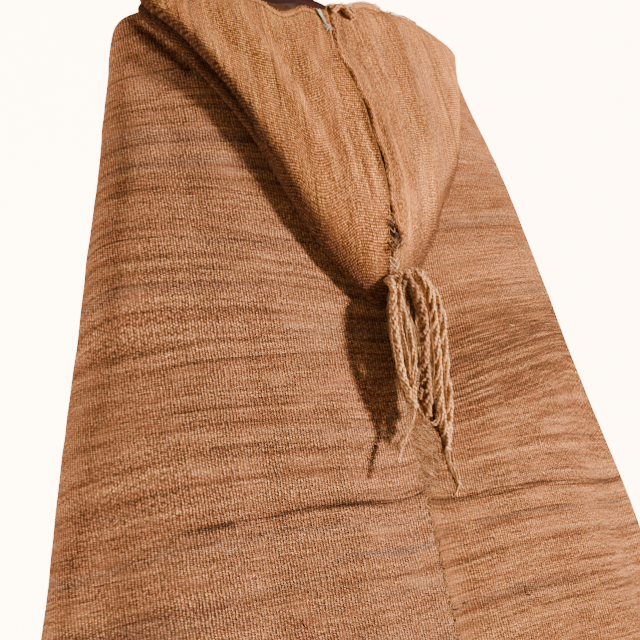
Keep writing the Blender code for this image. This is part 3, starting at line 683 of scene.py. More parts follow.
# %% A socket that can be added and multiplied
class Wire:
    """One socket of a node tree. Arithmetic on it adds Math nodes."""

    def __init__(self, socket):
        self.socket = socket
        self.tree = socket.id_data

    def add(self, kind, settings=None, inputs=None, output=0):
        return new_node(self.tree, kind, settings, inputs, output)

    def math(self, operation, *values):
        return self.add("ShaderNodeMath", {"operation": operation}, dict(enumerate(values)))

    def __add__(self, other):
        return self.math("ADD", self, other)

    def __sub__(self, other):
        return self.math("SUBTRACT", self, other)

    def __rsub__(self, other):
        return self.math("SUBTRACT", other, self)

    def __mul__(self, other):
        return self.math("MULTIPLY", self, other)

    def __truediv__(self, other):
        return self.math("DIVIDE", self, other)

    __radd__, __rmul__ = __add__, __mul__

    def cosine(self):
        return self.math("COSINE", self)

    def absolute(self):
        return self.math("ABSOLUTE", self)

    def whole(self):
        return self.math("FLOOR", self)

    def between(self, low, high):
        """0 below low, 1 above high, and soft in between."""
        settings = {"interpolation_type": "SMOOTHSTEP"}
        return self.add("ShaderNodeMapRange", settings, {"Value": self, 1: low, 2: high})


def new_node(tree, kind, settings=None, inputs=None, output=0):
    """Any node: its settings first, then the values or the wires of its sockets."""
    node = tree.nodes.new(kind)
    for name, value in (settings or {}).items():
        if name == "stops":
            while len(node.color_ramp.elements) < len(value):
                node.color_ramp.elements.new(0.5)
            for stop, (place, colour) in zip(node.color_ramp.elements, value):
                stop.position, stop.color = place, (*colour, 1)
        else:
            setattr(node, name, value)
    for name, value in (inputs or {}).items():
        if isinstance(value, Wire):
            tree.links.new(value.socket, node.inputs[name])
        else:
            node.inputs[name].default_value = value
    return Wire(node.outputs[output])


print("an output of a node can now be used like a number")

# %% [markdown]
# Colours and vectors need nodes of their own kind, because a Math node would turn a colour grey. These
# helpers mix colours, reckon with vectors, give noise, and open and close a material.

# %% Mixes, noise and materials
def colour_mix(factor, first, second, blend="MIX"):
    """Two colours through a Mix node, which has its colour sockets at 6 and 7."""
    wire = factor if isinstance(factor, Wire) else first
    first, second = [c if isinstance(c, Wire) else (*c, 1) for c in (first, second)]
    settings = {"data_type": "RGBA", "blend_type": blend}
    return wire.add("ShaderNodeMix", settings, {0: factor, 6: first, 7: second}, 2)


def vector(tree, operation, first, second, socket=1):
    """Arithmetic on vectors, through a Vector Math node."""
    inputs = {0: first, socket: second}
    return new_node(tree, "ShaderNodeVectorMath", {"operation": operation}, inputs)


def noise(tree, x, y, detail=2.0, shift=0.0):
    """Noise over two numbers, each already stretched to the size wanted."""
    place = new_node(tree, "ShaderNodeCombineXYZ", None, {0: x, 1: y, 2: shift})
    inputs = {"Vector": place, "Scale": 1.0, "Detail": detail}
    return new_node(tree, "ShaderNodeTexNoise", {"noise_dimensions": "3D"}, inputs)


def new_material(name, **constants):
    """A material with the shader's constants set, its tree and its shader."""
    material = bpy.data.materials.new(name)
    material.use_nodes = True
    shader = material.node_tree.nodes["Principled BSDF"]
    for socket, value in constants.items():
        shader.inputs[socket.replace("_", " ")].default_value = value
    return material, material.node_tree, shader


def object_noise(tree, place, scale, detail):
    """Noise over a place on the piece, with so many lumps in a metre."""
    return new_node(tree, "ShaderNodeTexNoise", None, {"Vector": place, "Scale": scale, "Detail": detail})


def finish(tree, shader, colour, roughness=None, height=None, distance=0.001, strength=1.0):
    """Joins a colour and, where given, a roughness and a relief to the shader."""
    tree.links.new(colour.socket, shader.inputs["Base Color"])
    if roughness is not None:
        tree.links.new(roughness.socket, shader.inputs["Roughness"])
    if height is not None:
        inputs = {"Height": height, "Distance": distance, "Strength": strength}
        bump = new_node(tree, "ShaderNodeBump", None, inputs)
        tree.links.new(bump.socket, shader.inputs["Normal"])


print("node helper ready")

# %% [markdown]
# ## Hand-woven wool
#
# The cloth is a plain weave: fat wefts cross the warp and dip under every other rib, and the next weft
# dips under the ones between. A product of two cosines at half the ribs' spacing gives just that
# staggered pattern. The wool was dyed and spun by hand, so bands of wefts differ in tone, and one weft
# may be darker for a few centimetres only. Noise stretched along the weft gives this at four sizes.

# %% The relief of the weave
WEFT_SPACING = 0.0011
MOUTH_ROLL = (0.0062, 0.0082)       # from the mouth: where its rolled edge ends
WHIP_STEP, WHIP_LEAN = 0.0040, 0.0085    # the thread that whips the roll: its step and its slant
# ROLL_LINE and its widths place a line of painted shade in the crease under the rolled edge
ROLL_LINE, LINE_CORE, LINE_EDGE = 0.0098, 0.0003, 0.0017    # the dark line beside the roll


class Threads:
    """The places of a cloth's threads: around runs along the wefts, down runs across them."""

    def __init__(self, tree, shift):
        self.tree, self.shift = tree, shift
        threads = new_node(tree, "ShaderNodeUVMap", {"uv_map": "Threads"})
        split = threads.add("ShaderNodeSeparateXYZ", None, {0: threads})
        self.around, self.down = split, Wire(split.socket.node.outputs[1])
        self.far = self.around.absolute()

    def noise(self, along, across, detail=2.0, seed=0):
        """Noise with so many lumps in a metre along the wefts and across them."""
        return noise(self.tree, self.around * along, self.down * across, detail, self.shift + seed)

    def bend(self, amount, ends):
        """Bows the wefts beside the back seam, where the two halves were eased together."""
        near = 1 - self.far.between(-0.075, 0.075)
        bowed = 4 * amount * near * near * self.down.between(1.60, 1.72)
        self.down = self.down + bowed * (1 - self.down.between(ends, ends + 0.03))

    def lay(self, rib_spacing):
        """Counts the ribs and the wefts, each a little unevenly."""
        self.loose, self.jitter = self.noise(60, 60), self.noise(330, 330, 1.0, 2)
        uneven_rib = (self.loose - 0.5) * 1.2
        self.rib = self.around / rib_spacing + uneven_rib + (self.jitter - 0.5) * 0.25
        self.weft = self.down / WEFT_SPACING + (self.noise(45, 90, 2.0, 3) - 0.5) * 2.4


def plain_weave(cloth):
    """Ribs, the staggered floats on them, and yarn that is thick and thin."""
    ribs = 0.5 + 0.5 * (cloth.rib * (2 * math.pi)).cosine()
    staggered = cloth.weft + (cloth.rib + 0.5).whole() + (cloth.jitter - 0.5)
    floats = 0.5 + 0.5 * (staggered * math.pi).cosine()
    yarn = noise(cloth.tree, cloth.rib * 0.95, cloth.weft * 0.48, 1.5, cloth.shift + 4).between(0.32, 0.68)
    return (0.30 + 0.70 * ribs) * (0.42 + 0.58 * floats) * (0.42 + 1.20 * yarn)


def felt(cloth, weave, felted_to):
    """Wear that has felted the wool in patches and, where asked, in a brushed strip by the seam."""
    felted = cloth.noise(22, 34, 3.0, 6).between(0.50, 0.70) * 0.45
    if felted_to:
        patches = cloth.noise(55, 26, 4.0, 8)
        strip = 1 - (cloth.far / felted_to + (patches - 0.5) * 1.6).between(-0.05, 1.90)
        felted = felted.math("MAXIMUM", felted, strip * 0.72)
        slanted, crossed = cloth.around - cloth.down, cloth.around + cloth.down
        brushed = noise(cloth.tree, slanted * 420, crossed * 45, 3.0, cloth.shift + 8)
        weave = weave + strip * 1.1 * (brushed - 0.5)
    return weave + felted * (0.46 - weave)


def roll_mouth(cloth, weave):
    """The hood's rolled mouth edge, whipped with thread, and a line of painted shade in the crease where it
    is sewn down.
    """
    turns = cloth.down / WHIP_STEP + cloth.around / WHIP_LEAN + cloth.loose
    whipped = 0.5 + 0.5 * (turns * (2 * math.pi)).cosine()
    roll = 1 - cloth.far.between(*MOUTH_ROLL)
    weave = weave + roll * (0.22 + 0.46 * whipped - 0.75 * weave)
    return weave * (1 - 0.62 * (1 - (cloth.far - ROLL_LINE).absolute().between(LINE_CORE, LINE_EDGE)))


print("weave: a weft every", WEFT_SPACING * 1000, "mm")

# %% [markdown]
# The tones come next. Wool dyed in small lots gives broad bands, each skein its own streaks, and each
# spun thread its own tone. A colour ramp turns the sum of these into dark, middle and light wool, and
# greyer, rosier, darker and paler threads are mixed in over it. The woven stripes lie on top.

# %% The tones of the wool
def wool_tones(cloth, dark, middle, light, grey):
    """Tones of the wool, from broad bands to single threads."""
    bands = cloth.noise(1.1, 15, 2.0, 7)
    streaks = cloth.noise(4.0, 75, 3.0, 9)
    fine = cloth.noise(11, 330, 2.0, 11)
    single = noise(cloth.tree, cloth.around * 26, cloth.weft.whole() * 0.73, 0.5, cloth.shift + 13)
    mottle = cloth.noise(38, 60, 4.0, 15)
    tone = 0.11 * bands + 0.18 * streaks + 0.33 * fine + 0.22 * single + 0.16 * mottle
    ramp = {"stops": ((0.39, dark), (0.50, middle), (0.61, light))}
    colour = tone.add("ShaderNodeValToRGB", ramp, {0: tone})
    greyer = cloth.noise(2.2, 34, 2.0, 17).between(0.52, 0.68)
    colour = colour_mix(greyer * 0.34, colour, grey)
    rosy = cloth.noise(9, 420, 1.0, 18).between(0.50, 0.66)
    colour = colour_mix(rosy * 0.38, colour, (middle[0] * 1.12, middle[1] * 0.72, middle[2] * 0.80))
    thin = cloth.noise(2.6, 185, 1.5, 19).between(0.62, 0.68)
    worn = cloth.noise(30, 30, 2.0, 21).between(0.38, 0.56)
    colour = colour_mix(thin * worn * 0.66, colour, [0.40 * c for c in dark])
    pale = cloth.noise(3.4, 240, 1.0, 23).between(0.64, 0.70)
    return colour_mix(pale * worn * 0.60, colour, [1.18 * c for c in light])


def striped(cloth, colour, stripes):
    """Woven stripes that run from the seam as far as each one reaches, with an uneven edge."""
    wander = (cloth.noise(9, 26, 2.0, 25) - 0.5) * 0.012
    broken = cloth.noise(14, 300, 2.0, 27).between(0.34, 0.56)
    for place, half, strength, hue, reach in stripes:
        near = 1 - (cloth.down + wander - place).absolute().between(0, half)
        fading = 1 - cloth.far.between(reach - 0.08, reach)
        colour = colour_mix(near * broken * fading * strength, colour, hue)
    return colour


def wool_cloth(
    name, rib_spacing, dark, middle, light, grey, stripes, shift,
    under=None, felted_to=0.0, painted_light=0.0, bend=0.0, bend_ends=FAR_OFF, rolled=False, painted_shoulder_light=0.0,
):
    """One cloth: its threads, tones and stripes, how felted and bowed it is, and its painted light and
    shade.
    """
    material, tree, shader = new_material(name, Sheen_Weight=0.04, Sheen_Roughness=0.5)
    shader.inputs["Sheen Tint"].default_value = (1.0, 0.72, 0.46, 1.0)
    shader.inputs["Specular IOR Level"].default_value = 0.04
    cloth = Threads(tree, shift)
    if bend:
        cloth.bend(bend, bend_ends)
    cloth.lay(rib_spacing)
    slub = cloth.noise(90, 520, 1.0, 5)
    weave = felt(cloth, plain_weave(cloth), felted_to) * (0.72 + 0.56 * slub)
    if rolled:
        weave = roll_mouth(cloth, weave)
    colour = striped(cloth, wool_tones(cloth, dark, middle, light, grey), stripes)
    # on the hood the turned-under layers take the dark under colour: painted shade, as that layer lies in
    # shade
    if under:
        turned = new_node(tree, "ShaderNodeAttribute", {"attribute_name": "turned_under"}, None, 2)
        colour = colour_mix(turned, colour, under)

    # the weave's hollows get painted shade, and painted light lightens the cloak's side and the hood's tip
    painted_light_band = cloth.far.between(0.19, 0.33) - cloth.far.between(0.42, 0.60)
    shade = (0.07 + 1.72 * weave) * (1 + painted_light * painted_light_band)
    if rolled:
        # a broken line of painted shade in the groove of the hood's centre seam
        puckered = cloth.noise(75, 20, 2.0, 29)
        painted_seam_shade = 1 - (cloth.down + 0.0050 * (puckered - 0.5)).between(0.0004, 0.0036)
        shade = shade * (1 - 0.62 * painted_seam_shade * cloth.around.between(0.05, 0.16))
    # painted light on the upper part of the left shoulder, which the lamp only grazes
    if painted_shoulder_light:
        shoulder = painted_shoulder_light * (1 - cloth.down.between(1.27, 1.40)) * cloth.far.between(0.16, 0.24)
        shade = shade * (1 + shoulder)
    shade = shade.add("ShaderNodeCombineXYZ", None, {0: shade, 1: shade, 2: shade})
    colour = colour_mix(1.0, colour, shade, "MULTIPLY")
    finish(tree, shader, colour, 0.86 + 0.12 * slub, weave, distance=0.0011)
    return material


print("wool tones ready")

# %% [markdown]
# The two halves of the cloak came off the loom with different stripes, and the hood from a third,
# lighter piece of cloth. A stripe's place is its distance down the flat cloth, counted from the tip of
# the cone that the cloak is a part of.

# %% Make the three cloths
DARK_STRIPE, BLUE_GREY, DULL = (0.040, 0.016, 0.009), (0.090, 0.072, 0.068), (0.150, 0.094, 0.069)
PALE_YARN, DARK_YARN = (0.520, 0.235, 0.092), (0.085, 0.032, 0.015)
DARK_HALF, PALE_HALF = 0.0042, 0.0034    # half widths of the stripes of dark and of pale yarn
LEFT_REACH, RIGHT_REACH = 0.50, 0.60     # how far round from the seam they run


def alike(hue, half, strength, reach, places):
    """Stripes of the same yarn, width and reach at several places."""
    return tuple((place, half, strength, hue, reach) for place in places)


LEFT_STRIPES = (    # place, half width, strength, colour, reach
    (1.786, 0.0060, 0.95, DARK_STRIPE, 0.30),
    (1.786, 0.0064, 0.90, DARK_STRIPE, 0.13),
    (1.838, 0.0060, 0.60, BLUE_GREY, 0.16),
) + alike(DARK_YARN, DARK_HALF, 0.56, LEFT_REACH, (
    1.340, 1.391, 1.425, 1.445, 1.462, 1.512, 1.540, 1.553, 1.564, 1.588, 1.611, 1.630, 1.704, 1.733,
    1.7525, 1.861,
)) + alike(PALE_YARN, PALE_HALF, 0.38, LEFT_REACH, (
    1.330, 1.354, 1.408, 1.435, 1.474, 1.546, 1.579, 1.598, 1.617, 1.650, 1.668, 1.690, 1.720, 1.741,
    1.768, 1.816, 1.850, 1.872,
))
RIGHT_STRIPES = (
    # The first two rows are broad bands, not stripes: they darken the right half beside the lower hood and,
    # more faintly, higher up.
    (1.665, 0.125, 0.92, (0.058, 0.0205, 0.0088), RIGHT_REACH),
    (1.480, 0.110, 0.42, (0.090, 0.032, 0.0130), RIGHT_REACH),
    (1.7922, 0.0040, 0.95, DARK_STRIPE, RIGHT_REACH),
    (1.7962, 0.0034, 0.90, DARK_STRIPE, RIGHT_REACH),
    (1.8230, 0.0035, 0.70, (0.065, 0.042, 0.034), RIGHT_REACH),
) + alike(DARK_YARN, DARK_HALF, 0.68, RIGHT_REACH, (
    1.499, 1.582, 1.623, 1.650, 1.684, 1.753, 1.768, 1.830, 1.854, 1.903, 1.917,
)) + alike(PALE_YARN, PALE_HALF, 0.30, RIGHT_REACH, (
    1.480, 1.567, 1.600, 1.677, 1.691, 1.722, 1.759, 1.782, 1.808, 1.846, 1.872, 1.890, 1.910, 1.931,
))
# the left half: painted light towards its side and on its shoulder, where the lamp only grazes
cloak_wool_left = wool_cloth(
    "cloak_wool_left", rib_spacing=0.0031, shift=0.0, stripes=LEFT_STRIPES,
    dark=(0.182, 0.070, 0.0320), middle=(0.285, 0.116, 0.0520), light=(0.425, 0.189, 0.0870), grey=DULL,
    painted_light=0.50, bend=0.009, painted_shoulder_light=0.30,
)
# The right half's tones are darker than the left's: partly its own cloth, partly painted shade, as the lamp
# falls more fully on the right.
cloak_wool_right = wool_cloth(
    "cloak_wool_right", rib_spacing=0.0035, shift=40.0, stripes=RIGHT_STRIPES,
    dark=(0.122, 0.042, 0.0160), middle=(0.225, 0.086, 0.0325), light=(0.355, 0.151, 0.0580),
    grey=(0.110, 0.068, 0.048), felted_to=0.024, bend=0.009, bend_ends=1.795,
)
# the hood: painted light towards its tip, and a dark under colour as painted shade on its turned-under
# layers
hood_wool = wool_cloth(
    "hood_wool_woven", rib_spacing=0.0033, shift=80.0, stripes=(),
    dark=(0.165, 0.060, 0.0230), middle=(0.335, 0.126, 0.0390), light=(0.520, 0.226, 0.0645),
    grey=(0.180, 0.095, 0.050), under=(0.080, 0.028, 0.012), painted_light=0.30, rolled=True,
)
for piece, wool in (
    (cloak_left, cloak_wool_left), (cloak_right, cloak_wool_right),
    (hood_left, hood_wool), (hood_right, hood_wool),
):
    piece.data.materials.append(wool)
print("materials:", len(bpy.data.materials))

# %% [markdown]
# ## Cords: plies that run round each other
#
# A twisted cord is a few equal strands that follow one path while each swings round it in a flattened
# circle. One Geometry Nodes tree makes every cord here, with the number of strands, their thickness
# and the swing as named inputs. A tree is first given its inputs and, at its end, Realize Instances
# and Set Material, so these two steps are helpers of their own.

# %% Start and end a Geometry Nodes tree
def geometry_tree(name, sizes):
    tree = bpy.data.node_groups.new(name, "GeometryNodeTree")
    tree.interface.new_socket("Geometry", in_out="INPUT", socket_type="NodeSocketGeometry")
    for label, kind in sizes.items():
        tree.interface.new_socket(label, in_out="INPUT", socket_type="NodeSocket" + kind)
    tree.interface.new_socket("Geometry", in_out="OUTPUT", socket_type="NodeSocketGeometry")
    entry = tree.nodes.new("NodeGroupInput")
    return tree, {socket.name: Wire(socket) for socket in entry.outputs if socket.name}


def end_tree(tree, shape, material):
    real = new_node(tree, "GeometryNodeRealizeInstances", None, {0: shape})
    inputs = {"Geometry": real, "Material": material}
    dressed = new_node(tree, "GeometryNodeSetMaterial", None, inputs)
    leave = tree.nodes.new("NodeGroupOutput")
    tree.links.new(dressed.socket, leave.inputs[0])


def circle(tree, sides, radius):
    """The outline of a strand, a hair or a stitch."""
    return new_node(tree, "GeometryNodeCurvePrimitiveCircle", None, {"Resolution": sides, "Radius": radius})


def random_between(tree, low, high, seed):
    inputs = {2: low, 3: high, "Seed": seed}
    return new_node(tree, "FunctionNodeRandomValue", {"data_type": "FLOAT"}, inputs, 1)


def stored(tree, shape, name, value):
    """The shape with the value kept on its points, for the wool's material to read."""
    settings = {"data_type": "FLOAT", "domain": "POINT"}
    inputs = {"Geometry": shape, "Name": name, "Value": value}
    return new_node(tree, "GeometryNodeStoreNamedAttribute", settings, inputs)


print("tree helpers ready")

# %% [markdown]
# In this tree the path is copied once for each strand. A sine and a cosine of how far along the point
# is swing it to the side and out, and slow noise makes the strand wander and swell, as spun wool does.

# %% A tree that lays strands along a path
STRAND_SIZES = {
    "Strands": "Int", "Thickness": "Float", "Width": "Float", "Depth": "Float",
    "Turns per metre": "Float", "Looseness": "Float", "Sides": "Int", "Wool": "Material",
}
LUMPS_PER_METRE = 140.0             # in spun wool, where it is thicker or wanders
APART = 3.7                         # moves each strand to lumps of its own
strand_tree, given = geometry_tree("laid strands", STRAND_SIZES)
path = new_node(strand_tree, "GeometryNodeMeshToCurve", None, {0: given["Geometry"]})
run = new_node(strand_tree, "GeometryNodeSplineParameter", output=1)
copies = new_node(
    strand_tree, "GeometryNodeDuplicateElements", {"domain": "SPLINE"},
    {"Geometry": path, "Amount": given["Strands"]},
)
which = Wire(copies.socket.node.outputs[1])
phase = (run * given["Turns per metre"] + which / given["Strands"]) * (2 * math.pi)
sway = phase.math("SINE", phase) * given["Width"]
dip = phase.math("SINE", phase + math.pi / 2) * given["Depth"]
tangent = new_node(strand_tree, "GeometryNodeInputTangent")
normal = new_node(strand_tree, "GeometryNodeInputNormal")
side = vector(strand_tree, "CROSS_PRODUCT", tangent, normal)
swing = vector(
    strand_tree, "ADD",
    vector(strand_tree, "SCALE", normal, dip, "Scale"), vector(strand_tree, "SCALE", side, sway, "Scale"),
)
where = new_node(strand_tree, "GeometryNodeInputPosition")
drawn = {"Vector": where, "W": which * APART, "Scale": LUMPS_PER_METRE, "Detail": 1.0}
lumpy = new_node(strand_tree, "ShaderNodeTexNoise", {"noise_dimensions": "4D"}, drawn)
wander = vector(strand_tree, "SUBTRACT", Wire(lumpy.socket.node.outputs[1]), (0.5, 0.5, 0.5))
swing = vector(
    strand_tree, "ADD", swing, vector(strand_tree, "SCALE", wander, given["Looseness"], "Scale")
)
laid = new_node(strand_tree, "GeometryNodeSetPosition", None, {"Geometry": copies, "Offset": swing})
round_about = new_node(strand_tree, "GeometryNodeSplineParameter", output=0)
ring = stored(strand_tree, circle(strand_tree, given["Sides"], given["Thickness"]), "around", round_about)
tubes = new_node(
    strand_tree, "GeometryNodeCurveToMesh", None,
    {"Curve": stored(strand_tree, laid, "run", run), "Profile Curve": ring, "Scale": 0.50 + lumpy,
     "Fill Caps": True},
)
smooth = new_node(strand_tree, "GeometryNodeSetShadeSmooth", None, {"Geometry": tubes})
end_tree(strand_tree, smooth, given["Wool"])
print("strand tree has", len(strand_tree.nodes), "nodes")

# %% [markdown]
# A tree needs something to grow on. For a cord that is a bare line of points, rounded so that no
# strand kinks. The result is read back as a plain mesh, and cords of one kind are joined in one piece.

# %% Lines to grow on, and the finished meshes
STEP = 0.0008                       # between the points of a rounded line


def polyline(*lines):
    """Bare lines of points, which a tree turns into curves."""
    mesh = bpy.data.meshes.new("line")
    points, edges = [], []
    for line in lines:
        edges += [(len(points) + k, len(points) + k + 1) for k in range(len(line) - 1)]
        points += [tuple(map(float, p)) for p in line]
    mesh.from_pydata(points, edges, [])
    line = bpy.data.objects.new("line", mesh)
    bpy.context.scene.collection.objects.link(line)
    return line


def grown(source, tree, sizes, name):
    """Runs the tree on the source and keeps the result as a plain mesh."""
    modifier = source.modifiers.new("grow", "NODES")
    modifier.node_group = tree
    for socket in tree.interface.items_tree:
        if socket.in_out == "INPUT" and socket.name in sizes:
            modifier[socket.identifier] = sizes[socket.name]
    graph = bpy.context.evaluated_depsgraph_get()
    mesh = bpy.data.meshes.new_from_object(source.evaluated_get(graph))
    bpy.data.objects.remove(source)
    made = bpy.data.objects.new(name, mesh)
    bpy.context.scene.collection.objects.link(made)
    return made


def rounded(points, step=STEP):
    """Points every step along a smooth curve through these."""
    points = np.array(points, float)
    lengths = np.linalg.norm(np.diff(points, axis=0), axis=1)
    at = np.concatenate([[0], np.cumsum(lengths)])
    places = np.linspace(0, at[-1], max(int(at[-1] / step), 4))
    padded = np.concatenate([2 * points[:1] - points[1:2], points, 2 * points[-1:] - points[-2:-1]])
    found = []
    for place in places:
        i = min(int(np.searchsorted(at, place, side="right")) - 1, len(lengths) - 1)
        t = (place - at[i]) / lengths[i]
        p0, p1, p2, p3 = padded[i:i + 4]
        found.append(
            0.5 * (2 * p1 + (p2 - p0) * t + (2 * p0 - 5 * p1 + 4 * p2 - p3) * t**2
                   + (3 * p1 - p0 - 3 * p2 + p3) * t**3)
        )
    return np.array(found)


def strands(path, name, wool, count, thickness, width, depth, turns, loose=0.0040):
    """A cord of that many strands, each swinging by the width and the depth as it turns."""
    sizes = {
        "Strands": count, "Thickness": thickness, "Width": width, "Depth": depth,
        "Turns per metre": turns, "Looseness": loose, "Sides": 7, "Wool": wool,
    }
    return grown(polyline(path), strand_tree, sizes, name)


def fibres(lines, name, wool, thickness):
    """Many thin single fibres at once, one along each line."""
    sizes = {"Strands": 1, "Thickness": thickness, "Sides": 3, "Wool": wool}
    return grown(polyline(*lines), strand_tree, sizes, name)


def joined(pieces, name):
    """One object from several, with their meshes put together."""
    with bpy.context.temp_override(active_object=pieces[0], selected_editable_objects=pieces):
        bpy.ops.object.join()
    pieces[0].name = pieces[0].data.name = name
    return pieces[0]


print("a rounded line has a point every", STEP * 1000, "mm")

# %% [markdown]
# ## The cords at the hood's tip
#
# The hood ends in a bound knot, from which thick and thin cords and single yarns of undyed wool hang
# down. Each has its own path, number of strands and weight. Dark brown cords hang close behind the
# pale ones. Spun wool is lighter and duller than woven cloth, and its plies show as slanting bands.

# %% Spun yarn, lighter and duller than the cloth
def spun_wool(name, dark, light, twists):
    """Wool yarn between two tones, with that many twists along it."""
    material, tree, shader = new_material(name, Sheen_Weight=0.12, Sheen_Roughness=0.5)
    shader.inputs["Specular IOR Level"].default_value = 0.15
    run = new_node(tree, "ShaderNodeAttribute", {"attribute_name": "run"}, None, 2)
    around = new_node(tree, "ShaderNodeAttribute", {"attribute_name": "around"}, None, 2)
    lay = 0.5 + 0.5 * ((run * twists + around * 2) * (2 * math.pi)).cosine()
    place = new_node(tree, "ShaderNodeTexCoord", None, None, 3)
    lumps = object_noise(tree, place, 260.0, 3.0)
    patches = object_noise(tree, place, 40.0, 2.0)
    # the twist's slanting bands darken the colour as well as the relief: painted shade in the grooves of
    # the twist
    tone = 0.50 * lay + 0.30 * lumps + 0.20 * patches
    ramp = {"stops": ((0.22, dark), (0.72, light))}
    colour = tone.add("ShaderNodeValToRGB", ramp, {0: tone})
    finish(tree, shader, colour, 0.82 + 0.16 * lumps, 0.7 * lay + 0.5 * lumps, distance=0.0005)
    return material


straw_yarn = spun_wool("straw_yarn", (0.200, 0.066, 0.020), (0.720, 0.360, 0.140), 210)
# near-black wool for fibres that paint shade: in the hollow under the gathered yarn and inside the torn
# seam
painted_shade_wool = spun_wool("painted_shade_wool", (0.030, 0.0075, 0.0050), (0.120, 0.036, 0.0240), 330)
dark_brown_yarn = spun_wool("dark_brown_yarn", (0.060, 0.021, 0.008), (0.210, 0.080, 0.030), 330)
brown_yarn = spun_wool("brown_yarn", (0.100, 0.034, 0.012), (0.400, 0.165, 0.060), 210)
pale_yarn = spun_wool("pale_yarn", (0.40, 0.33, 0.25), (0.80, 0.72, 0.60), 330)
print("yarns so far:", sum("yarn" in material.name for material in bpy.data.materials))

# %% [markdown]
# A cord's route is a short list of given points, because no rule says how a cord hangs. The table
# after them says for each route which yarn follows it, with how many strands and how tightly.

# %% The cords' routes
KNOT_BAR = (
    (0.017, 0.1425, -0.534), (0.013, 0.1445, -0.529), (0.002, 0.1465, -0.525),
    (-0.012, 0.1470, -0.523), (-0.023, 0.1470, -0.524), (-0.027, 0.1460, -0.529),
)
ROPE_PATH = (
    (0.014, 0.146, -0.530), (0.021, 0.155, -0.547), (0.027, 0.158, -0.580),
    (0.028, 0.159, -0.612), (0.028, 0.158, -0.638), (0.024, 0.158, -0.661), (0.021, 0.159, -0.673),
)
WISP_PATH = (
    (0.021, 0.159, -0.671), (0.027, 0.159, -0.684), (0.036, 0.157, -0.698),
    (0.045, 0.157, -0.711), (0.052, 0.157, -0.725),
)
YARN_PATH = (
    (0.009, 0.147, -0.528), (0.013, 0.156, -0.545), (0.015, 0.160, -0.564),
    (0.010, 0.161, -0.593), (0.010, 0.160, -0.620), (0.018, 0.160, -0.648), (0.021, 0.159, -0.673),
)
MIDDLE_PATH = (
    (-0.003, 0.148, -0.526), (-0.004, 0.158, -0.544), (-0.009, 0.161, -0.568),
    (-0.010, 0.161, -0.590), (-0.004, 0.160, -0.621), (0.001, 0.160, -0.652), (0.008, 0.159, -0.683),
)
THICK_PATH = (
    (-0.018, 0.148, -0.525), (-0.024, 0.157, -0.543), (-0.025, 0.160, -0.572),
    (-0.024, 0.160, -0.597), (-0.022, 0.159, -0.629), (-0.020, 0.159, -0.661),
    (-0.022, 0.159, -0.697), (-0.023, 0.159, -0.712),
)
TAIL_PATH = (
    (-0.022, 0.159, -0.708), (-0.026, 0.158, -0.729), (-0.028, 0.158, -0.753), (-0.021, 0.158, -0.768),
)
OUTER_PATH = (
    (-0.022, 0.148, -0.526), (-0.031, 0.157, -0.545), (-0.037, 0.162, -0.575),
    (-0.034, 0.163, -0.607), (-0.032, 0.162, -0.643), (-0.034, 0.161, -0.663),
    (-0.028, 0.161, -0.695), (-0.019, 0.160, -0.720),
)
END_PATH = ((-0.019, 0.160, -0.716), (-0.022, 0.159, -0.738), (-0.030, 0.158, -0.762))
SLACK_PATH = (
    (0.0190, 0.1615, -0.674), (0.0140, 0.1620, -0.685), (0.0060, 0.1610, -0.691), (-0.0020, 0.1600, -0.689),
    (-0.0080, 0.1590, -0.681),
)
BACK_PATH = (
    (-0.004, 0.144, -0.530), (-0.003, 0.149, -0.552), (0.001, 0.150, -0.590), (0.002, 0.150, -0.625),
    (0.004, 0.151, -0.650), (0.007, 0.152, -0.672),
)
BEHIND_ROPE_PATH = (
    (0.008, 0.149, -0.531), (0.0175, 0.149, -0.543), (0.0195, 0.147, -0.556), (0.0205, 0.145, -0.570),
    (0.0215, 0.145, -0.597), (0.0225, 0.148, -0.625), (0.0225, 0.151, -0.648), (0.0200, 0.155, -0.664),
)
BEHIND_YARN_PATH = (
    (0.005, 0.151, -0.530), (0.0085, 0.152, -0.541), (0.0075, 0.153, -0.553), (0.0073, 0.153, -0.566),
    (0.0085, 0.153, -0.594), (0.0105, 0.155, -0.622), (0.0120, 0.158, -0.648), (0.0145, 0.158, -0.664),
)
BETWEEN_PATH = (
    (0.010, 0.147, -0.529), (0.017, 0.156, -0.548), (0.0205, 0.160, -0.575), (0.0200, 0.161, -0.605),
    (0.0205, 0.160, -0.635), (0.0215, 0.159, -0.660), (0.021, 0.159, -0.673),
)
